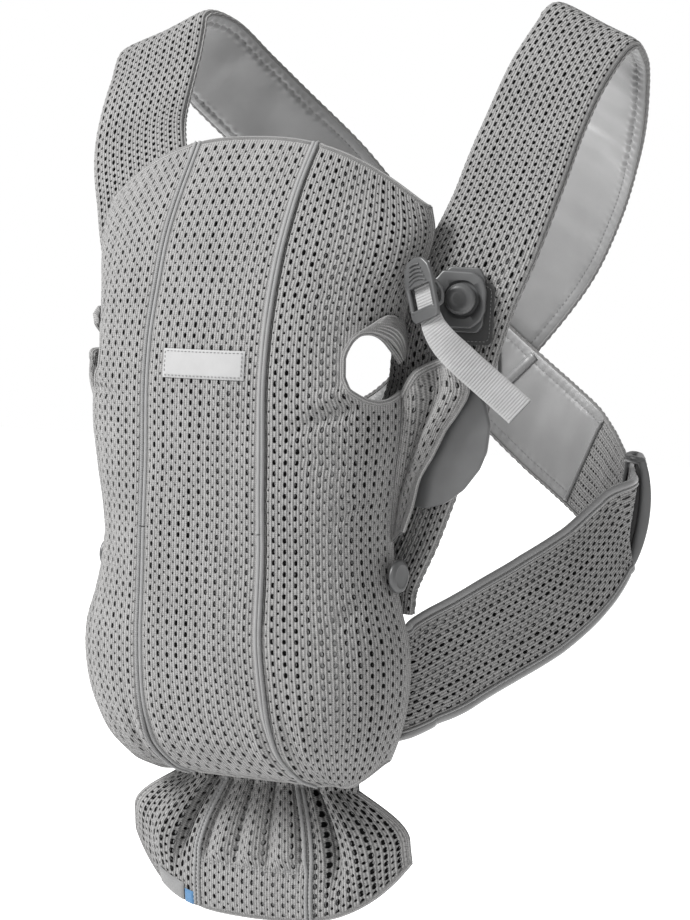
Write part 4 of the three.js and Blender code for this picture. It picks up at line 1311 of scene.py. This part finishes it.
def moulding(points, thickness, rim, place, crown=0.0, steps=6, soften=3):
    """A plate from an outline in x and z: back at y 0, front at -thickness, rims rounded, front crowned."""
    p = rounded_outline(points, passes=soften)
    tangent = unit(np.roll(p, -1, 0) - np.roll(p, 1, 0))
    area = np.sum(p[:, 0] * np.roll(p[:, 1], -1) - np.roll(p[:, 0], -1) * p[:, 1])
    inward = np.stack([-tangent[:, 1], tangent[:, 0]], 1) * (1 if area > 0 else -1)
    centre = p.mean(0)
    b = Builder()
    turns = [k / steps * math.pi / 2 for k in range(steps + 1)]
    profile = [(rim * (1 - math.sin(a)), -rim * (1 - math.cos(a))) for a in turns]
    profile += [(rim * (1 - math.cos(a)), -(thickness - rim) - rim * math.sin(a)) for a in turns]
    rows = []
    for inset, y in profile:
        q = p + inward * inset
        rows.append(np.stack([q[:, 0], np.full(len(q), y), q[:, 1]], 1))
    top = p + inward * rim
    for f in (0.75, 0.5, 0.25):
        q = centre + (top - centre) * f
        rows.append(np.stack([q[:, 0], np.full(len(q), -thickness - crown * (1 - f * f)), q[:, 1]], 1))
    n = len(p)
    pts = np.concatenate(rows)
    faces = grid_faces(n, len(rows), wrap_u=True)
    back, front = list(range(n)), [(len(rows) - 1) * n + i for i in range(n)]
    faces += [back[::-1], front]
    if area < 0:
        faces = [f[::-1] for f in faces]
    b.add(placed(place, pts), faces)
    return b


def turning(profile, place, segments=64):
    """A lathe form about y from (radius, height) pairs; height runs towards -y."""
    prof = resample(np.array(profile, float), 0.45)
    ang = np.arange(segments) * 2 * math.pi / segments
    r, height = prof[:, None, 0], prof[:, None, 1]
    pts = np.stack([r * np.cos(ang), -height + 0 * ang, r * np.sin(ang)], -1)
    b = Builder()
    faces = grid_faces(segments, len(prof), wrap_u=True)
    faces += [list(range(segments))[::-1], [(len(prof) - 1) * segments + i for i in range(segments)]]
    b.add(placed(place, pts.reshape(-1, 3)), faces)
    return b


def fix_normals(obj):
    """Turns the faces of a closed form outwards."""
    bm = bmesh.new()
    bm.from_mesh(obj.data)
    bmesh.ops.recalc_face_normals(bm, faces=bm.faces)
    bm.to_mesh(obj.data)
    bm.free()
    return obj


def carve(obj, *tools):
    """obj less the tools, as a plain mesh."""
    for tool in tools:
        m = obj.modifiers.new("cut", "BOOLEAN")
        m.operation, m.solver, m.object = "DIFFERENCE", "EXACT", tool
        bpy.context.view_layer.update()
        done = bpy.data.meshes.new_from_object(obj.evaluated_get(bpy.context.evaluated_depsgraph_get()))
        obj.modifiers.clear()
        obj.data = done
        bpy.data.objects.remove(tool)
    return obj


def part(builder, name, body, material=None, nodes=(), tools=()):
    obj = fix_normals(builder.build(name, material or PLASTIC))
    if tools:
        cutters = [t.build(f"{name}_tool_{i}", material or PLASTIC) for i, t in enumerate(tools)]
        carve(obj, *[fix_normals(cutter) for cutter in cutters])
    return dress(obj, body, nodes)


D_OUTLINE = [
    (-24, 8.5), (-16.5, 12.5), (-13, 17.2), (6.5, 16.6), (12, 13), (14.6, 6), (14.6, -6), (12, -12.5),
    (6, -17.2), (-12, -17.2), (-16.2, -12.5), (-24, -8.5), (-26, -5), (-26, 5)]
MOON = [
    (-14, -43), (-6, -44), (4, -41), (14, -33), (22, -20), (27, -4), (27.5, 8), (24, 24), (16, 36), (6, 44),
    (-4, 44.5), (-11, 42), (-13.5, 34), (-14, 10), (-14.2, -20)]
BASE_OUTLINE = [
    (-12.5, 15), (-10, 19.5), (9, 19.5), (12.5, 13), (12.5, -15), (9, -19.5), (-10, -19.5), (-12.5, -15)]
PATCH_W, PATCH_H, PATCH_Z = 36, 37, -8
KNOB = [  # radius, height: the stem, then the head with its dished top
    (0, 8.2), (3, 8.2), (3, 15.9), (8.4, 15.9), (9.2, 16.4), (9.5, 17.4), (9.35, 18.6), (8.7, 19.8),
    (7.4, 20.8), (6.0, 21.2), (4.8, 21.1), (3.6, 20.75), (2.0, 20.6), (0, 20.55)]
CLASPS = {1: ((140, 29.8, 296), 14, -6), -1: ((-94, 38.6, 296), -2, -8)}
CLASP_PATCH, CLASP_BASE, CLASP_PLATE = 5.2, 7.2, 10.6


def box_outline(w, h, cz=0.0, cut=3.0):
    x, z = w / 2, h / 2
    return [(-x, cz - z + cut), (-x + cut, cz - z), (x - cut, cz - z), (x, cz - z + cut), (x, cz + z - cut),
            (x - cut, cz + z), (-x + cut, cz + z), (-x, cz + z - cut)]


def make_clasps():
    for side, name in SIDES:
        centre, az, lean = CLASPS[side]
        place = turned(centre, rx=lean, rz=az, order="XYZ")
        up = lambda h: place @ Matrix.Translation((0, -h, 0))
        patch = moulding(box_outline(PATCH_W, PATCH_H, PATCH_Z, 2), 1.4, 0.4, up(CLASP_PATCH))
        part(patch, f"clip_patch_{name}", "harness", PATCH, [f"clip_backing_{name}"])
        line = Builder()
        ring = rounded_outline(box_outline(PATCH_W - 4, PATCH_H - 4, PATCH_Z, 2), 1.0, 1)
        ring = np.vstack([ring, ring[:1]])
        pts = placed(place, np.stack([ring[:, 0], np.full(len(ring), -CLASP_PATCH - 1.45), ring[:, 1]], 1))
        out = np.tile(np.array(place)[:3, :3] @ np.array([0, -1.0, 0]), (len(pts), 1))
        stitches(line, pts, out, 1.5, 0.9, 0.26)
        dress(line.build(f"clip_patch_stitching_{name}", THREAD), "harness")
        bore = turning([(0, -1), (3.6, -1), (3.6, 4), (0, 4)], up(CLASP_BASE))
        part(moulding(BASE_OUTLINE, 3.0, 0.9, up(CLASP_BASE)), f"clip_base_plate_{name}", "harness",
             nodes=[f"clip_base_{name}"], tools=[bore])
        outline = D_OUTLINE if side > 0 else [(-x, z) for x, z in D_OUTLINE]
        dish = turning([(0, 2.7), (10.2, 2.7), (11.2, 3.3), (11.8, 6), (0, 6)], up(CLASP_PLATE))
        bore = turning([(0, -1), (5.6, -1), (5.6, 3.4), (0, 3.4)], up(CLASP_PLATE))
        part(moulding(outline, 3.8, 1.3, up(CLASP_PLATE)), f"clip_plate_face_{name}", f"clip_plate_{name}",
             nodes=[f"clip_plate_{name}"], tools=[dish, bore])
        part(turning(KNOB, place), f"clip_knob_{name}", f"head_button_{name}", nodes=[f"head_button_{name}"])


THROUGH_LOCK = [(0, 0, z, 1, 0, 0) for z in (15, 8, 0, -8, -15)]
LOCKS = {  # centre, turns about z and y, webbing stations (point, across)
    1: ((129.6, -4.2, 304), -20, -18, THROUGH_LOCK + [
        (1.2, 0.6, -24, 1, 0.15, 0.03), (4, 3.6, -34, 0.93, 0.4, 0.12), (8.6, 9.5, -45.5, 0.72, 0.62, 0.3),
        (14.4, 16.5, -58, 0.63, 0.68, 0.38), (21.6, 22.9, -71, 0.61, 0.67, 0.43),
        (29.8, 28.3, -84.3, 0.6, 0.65, 0.45)]),
    -1: ((-90, 15, 332), 0, 0, THROUGH_LOCK + [
        (0, 0, -25, 1, 0, 0), (0, -1, -41, 1, 0, 0), (0, -2, -57, 1, 0, 0), (0, -3, -72, 1, 0, 0)])}
PADDLE = [(-12.6, -16), (-10, -19), (10, -19), (12.6, -16), (13, 6), (11.5, 13), (7, 18), (0, 19.5), (-7, 18),
          (-11.5, 13), (-13, 6)]
WINDOW = [(-9.8, -12), (-9.8, 2), (9.8, 2), (9.8, -12)]
WEB_W, WEB_T, RIB = 19.0, 1.4, 1.75


def make_locks():
    for side, name in SIDES:
        centre, rz, ry, tail = LOCKS[side]
        place = turned(centre, ry=ry, rz=rz, order="ZYX")
        local = Matrix.Translation((0, -1.2, 0))
        hole = moulding(WINDOW, 12, 0.2, place @ Matrix.Translation((0, 4, 0)), soften=1)
        face = moulding(PADDLE, 2.8, 1.0, place @ local, crown=0.5)
        part(face, f"ladder_lock_face_{name}", f"ladder_lock_{name}", nodes=[f"ladder_lock_{name}"],
             tools=[hole])
        more = Builder()
        for x in (-11.7, 11.7):
            bend = ((-2.5, 2.6), (0.5, 1.5), (2.6, -2.5), (2.9, -6.5), (1.5, -11), (-2.5, -13))
            pts = np.array([(x, y, z) for y, z in bend])
            tube(more, placed(place, resample(pts, 0.8)), 1.25, 10)
        bar = np.array([[x, 2.9, -5.0] for x in np.linspace(-12, 12, 14)])
        tube(more, placed(place, bar), 1.15, 12)
        lower = np.array([[x, -3.0, -12.6] for x in np.linspace(-10.5, 10.5, 14)])
        tube(more, placed(place, lower), 1.5, 12)
        for i in range(5):
            z, half = 6.0 + 2.3 * i, 8.2 - 0.9 * i
            x = np.linspace(-half, half, 16)
            ridge = np.stack([x, -4.25 - 0.35 * (1 - (z - 8) ** 2 / 220) + 0 * x, z - 0.035 * x * x], 1)
            tube(more, placed(place, ridge), 0.62 * np.sqrt(1 - (x / (half + 0.6)) ** 2) + 0.1, 8)
        part(more, f"ladder_lock_bars_{name}", f"ladder_lock_{name}")
        band = Ribbon([((x, y, z), (ax, ay, az), WEB_W) for x, y, z, ax, ay, az in tail], 1)
        t = np.arange(0, band.length, 0.22)
        x = np.linspace(-WEB_W / 2, WEB_W / 2, 29)
        edge = np.clip((WEB_W / 2 - np.abs(x)) / 1.3, 0, 1) ** 0.5
        rib = 0.34 * np.abs(np.sin(math.pi * t / RIB))[:, None]
        rib = rib * np.clip((WEB_W / 2 - np.abs(x)) / 1.1, 0.25, 1)[None, :]
        grain = 0.05 * np.cos(x * 7.0)[None, :]
        web = Builder()
        for sign in (1, -1):
            h = sign * ((WEB_T / 2 - 0.25) * edge[None, :] + rib + grain)
            gx, gt = np.broadcast_arrays(x[None, :], t[:, None])
            pts = placed(place, band.lay(gx, h, gt, WEB_W).reshape(-1, 3)).reshape(len(t), len(x), 3)
            web.grid(pts, np.stack([gx, gt], -1) * UV_SCALE, flip=sign < 0)
        sew = Builder()
        for d in (1.6, 5.2):
            xs = np.linspace(-WEB_W / 2 + 1.2, WEB_W / 2 - 1.2, 30)
            pts = placed(place, band.lay(xs, 0 * xs + 1.0, 0 * xs + band.length - d, WEB_W))
            ahead = placed(place, band.lay(xs, 0 * xs + 2.0, 0 * xs + band.length - d, WEB_W))
            stitches(sew, pts, ahead - pts, 1.7, 0.9, 0.3)
        xs = np.linspace(-3.2, 5.4, 13)
        zig = band.length - 9.4 + 1.1 * (np.arange(13) % 2)
        pts = placed(place, band.lay(xs, 0 * xs + 0.95, zig, WEB_W))
        tube(sew, resample(pts, 0.5), 0.28, 6)
        for k in range(9):
            xs = np.linspace(-3.4, 5.6, 16)
            pts = placed(place, band.lay(xs, 0 * xs + 0.85, 0 * xs + band.length - 10.5 - 0.75 * k, WEB_W))
            tube(sew, pts, 0.24, 6)
        dress(web.build(f"head_strap_webbing_{name}", WEBBING), "head_support",
              [f"head_webbing_{name}"])
        dress(sew.build(f"head_strap_stitching_{name}", THREAD), "head_support")


TOGGLES = {1: ((126.5, 25, 209), 2, 23, 8), -1: ((-104, 27, 207), 0, -4, -6)}


def make_toggles():
    for side, name in SIDES:
        centre, rx, ry, rz = TOGGLES[side]
        place = turned(centre, rx, ry, rz)
        outline = MOON if side > 0 else [(-x, z) for x, z in MOON]
        part(moulding(outline, 3.9, 1.7, place, crown=1.6), f"side_clasp_{name}", f"side_toggle_{name}",
             nodes=[f"side_toggle_{name}"])
        part(turning([(0, -1.9), (10.4, -1.9), (11, -1.4), (11, -0.7), (10.4, -0.2), (0, -0.2)], place),
             f"side_clasp_base_{name}", "harness", nodes=[f"toggle_base_{name}"])


STUD = [  # radius, height: the foot, then the head with its dished top
    (0, 0), (4, 0), (4, 2.2), (9.2, 2.2), (10, 2.8), (10.2, 3.8), (9.8, 4.9), (8.7, 5.7), (7.2, 6.1),
    (6.4, 5.7), (4, 5.5), (0, 5.5)]


def make_leg_buttons():
    for side, name in SIDES:
        spin = Matrix.Rotation(math.radians(90 * side), 4, "Z")
        place = Matrix.Translation((side * 104.3, 2.5 if side > 0 else 5.0, 130)) @ spin
        part(turning(STUD, place), f"leg_stud_{name}", "front_panel", nodes=[f"leg_button_{name}"])


FRAME_HALF, RAIL_AT = 38, 10  # the frame's half height, and a rail's distance from its middle
FRAME_END = (  # fraction of RAIL_AT, depth, height: round the end from a rail to the bar
    (1, -5.5, 35.5), (1, -3.6, 37.8), (0.95, -1, 38.4), (0.8, 2, 38.4), (0.45, 3.9, 38.0), (0, 4.3, 37))


def make_buckles():
    """Curved frames: two rails outside the band, a bar inside it, and rounded ends."""
    for side, name in SIDES:
        flip = np.array([side, 1, 1])
        along = SLIDE * flip
        across = unit(np.array([0.13 * side, 0.08, 1.0]))
        across = unit(across - along * np.dot(across, along))
        outward = np.cross(across, along) * side
        centre = BUCKLE * flip

        def point(x, y, z):
            return centre + along * x - outward * y + across * z
        b, inside = Builder(), Builder()
        z = np.linspace(-FRAME_HALF, FRAME_HALF, 48)
        bow = 8.0 * (1 - (z / FRAME_HALF) ** 2) ** 0.8
        for x in (-RAIL_AT, RAIL_AT):
            path = np.array([point(x, -(3.6 + q * 0.9), k) for k, q in zip(z, bow)])
            wide = 2.6 + 1.5 * (1 - (z / FRAME_HALF) ** 2)
            rows = []
            for c, w, tan in zip(path, wide, unit(np.gradient(path, axis=0))):
                side_way = unit(np.cross(tan, outward))
                depth_way = unit(np.cross(side_way, tan)) * np.sign(np.dot(np.cross(side_way, tan), outward))
                ang = np.arange(14) * 2 * math.pi / 14
                ex = np.sign(np.cos(ang)) * np.abs(np.cos(ang)) ** 0.6 * 2.7
                ez = np.sign(np.sin(ang)) * np.abs(np.sin(ang)) ** 0.6 * w
                rows.append(c + side_way * ex[:, None] + depth_way * ez[:, None])
            b.grid(np.array(rows), wrap_u=True)
            for end, k in ((0, 0), (len(rows) - 1, -1)):
                b.add(rows[end], [list(range(14)) if k else list(range(14))[::-1]])
            pts = np.array([point(x * 0.93, (-(3.4 + q * 0.8) - 1.4) / 2, k) for k, q in zip(z, bow)])
            half = (3.4 + bow * 0.8 - 1.4) / 2 + 0.4
            grid = np.stack([np.stack([c + outward * h * e + along * g for e, g in (
                (-1, -1.2), (1, -1.2), (1, 1.2), (-1, 1.2))]) for c, h in zip(pts, half)])
            inside.grid(grid, wrap_u=True)
        path = np.array([point(0, 4.2, k) for k in np.linspace(-37, 37, 20)])
        tube(b, path, 1.0, 14, flat=(3.0, 1.7), normal=np.tile(outward, (len(path), 1)))
        for end in (-1, 1):
            for x in (-RAIL_AT, RAIL_AT):
                pts = np.array([point(x * f, y, end * k) for f, y, k in FRAME_END])
                tube(b, resample(pts, 1.0), 2.6, 12)
            pts = np.array([point(x, -3.2, end * 38.2) for x in np.linspace(-RAIL_AT, RAIL_AT, 12)])
            tube(b, pts, 1.0, 12, flat=(2.4, 3.0), normal=np.tile(outward, (12, 1)))
        part(b, f"waist_buckle_frame_{name}", f"waist_buckle_{name}", nodes=[f"waist_buckle_{name}"])
        # the inside strips take the darker patch material, painted as the shade in the frame's recess
        part(inside, f"waist_buckle_inside_{name}", f"waist_buckle_{name}", material=PATCH)


make_clasps()
make_locks()
make_toggles()
make_leg_buttons()
make_buckles()


# ------------------------------------------------------------------ label, tabs, yoke and back patch
def patch_on(surf, s0, s1, t0, t1, lift, thick, n=(40, 14), edge=0.5):
    """A thin sewn-on piece over a surface, with rounded rims."""
    s, t = np.linspace(s0, s1, n[0]), np.linspace(t0, t1, n[1])
    gs, gt = np.broadcast_arrays(s[None, :], t[:, None])
    p, nrm = with_normal(surf, gs, gt)
    rim = np.minimum(np.minimum(gs - s0, s1 - gs) if s1 > s0 else 1, np.minimum(gt - t0, t1 - gt))
    h = lift + thick * np.clip(rim / edge, 0, 1) ** 0.5
    b = Builder()
    top = p + nrm * h[..., None]
    low = p + nrm * (lift - 0.15)
    uv = np.stack([gs, gt], -1) * UV_SCALE
    b.grid(top, uv)
    b.grid(low, uv, flip=True)
    return b


def make_trim():
    x0, x1, z0, z1 = -28.0, 30.5, 248.5, 266.0
    label = patch_on(centre_surface, x0, x1, z0, z1, 0.75, 0.8)
    dress(label.build("blank_front_label", LABEL), "front_panel", ["front_label"])
    line = Builder()
    ring = np.array([(x0 + 1.6, z0 + 1.5), (x1 - 1.6, z0 + 1.5), (x1 - 1.6, z1 - 1.5), (x0 + 1.6, z1 - 1.5),
                     (x0 + 1.6, z0 + 1.5)])
    ring = resample(ring, 1.0)
    p, n = with_normal(centre_surface, ring[:, 0], ring[:, 1])
    stitches(line, p + n * 1.6, n, 1.7, 1.0, 0.26)
    dress(line.build("label_stitching", GREY_TAB), "front_panel")

    outward = flap_upward
    tab = patch_on(outward, -0.62 * FLAP_SPAN - 11, -0.62 * FLAP_SPAN + 11, -2.5, 11.5, 0.9, 0.8, (20, 12))
    dress(tab.build("plain_grey_tab", GREY_TAB), "hem_flap", ["care_tab"])
    tab = patch_on(outward, -0.47 * FLAP_SPAN - 3.6, -0.47 * FLAP_SPAN + 3.6, -3.5, 8.5, 0.9, 0.8, (10, 12))
    dress(tab.build("plain_accent_tab", ACCENT), "hem_flap", ["accent_tab"])

    yoke = Builder()
    low = lambda s: -3 + 36 * smooth(np.abs(s), 40, 90)
    s = np.linspace(-90, 90, 46)
    front = lambda s, t: np.stack([s, 28.2 + 0.9 * lumps(s / 24, t / 22), t], -1)
    back = lambda s, t: np.stack([s, 37.6 - 1.2 * (np.abs(s) / 90) ** 4 + 0.3 * lumps(s / 20, t / 20), t], -1)
    sheet_layer(yoke, front, s, low, flat(100), 26, 0.0)
    sheet_layer(yoke, back, s, low, flat(100), 26, 0.0, flip=True)
    dress(yoke.build("seat_yoke_cover", SATIN), "harness", ["seat_yoke"])
    edge = Builder()
    loop = np.vstack([np.stack([s, 0 * s + 33, low(s)], 1), np.stack([s, 0 * s + 33, 0 * s + 100], 1)[::-1]])
    loop = np.vstack([loop, loop[:1]])
    tube(edge, resample(loop, 2.0), 1.0, 12, flat=(5.4, 1.4))
    dress(edge.build("seat_yoke_binding", SATIN), "harness")
    cross_patch = Builder()
    flat_patch = lambda s, t: np.stack([s, 274.4 + 0.25 * lumps(s / 9, t / 9) + 0 * t, t], -1)
    ts = np.linspace(-22.5, 22.5, 24)
    sheet_layer(cross_patch, flat_patch, ts, flat(227.5), flat(268.5), 20, 0.0)
    back_patch = lambda s, t: flat_patch(s, t) + np.array([0, 1.2, 0])
    sheet_layer(cross_patch, back_patch, ts, flat(227.5), flat(268.5), 20, 0.0, flip=True)
    dress(cross_patch.build("back_cross_cover", SATIN), "harness", ["back_cross_patch"])


make_trim()
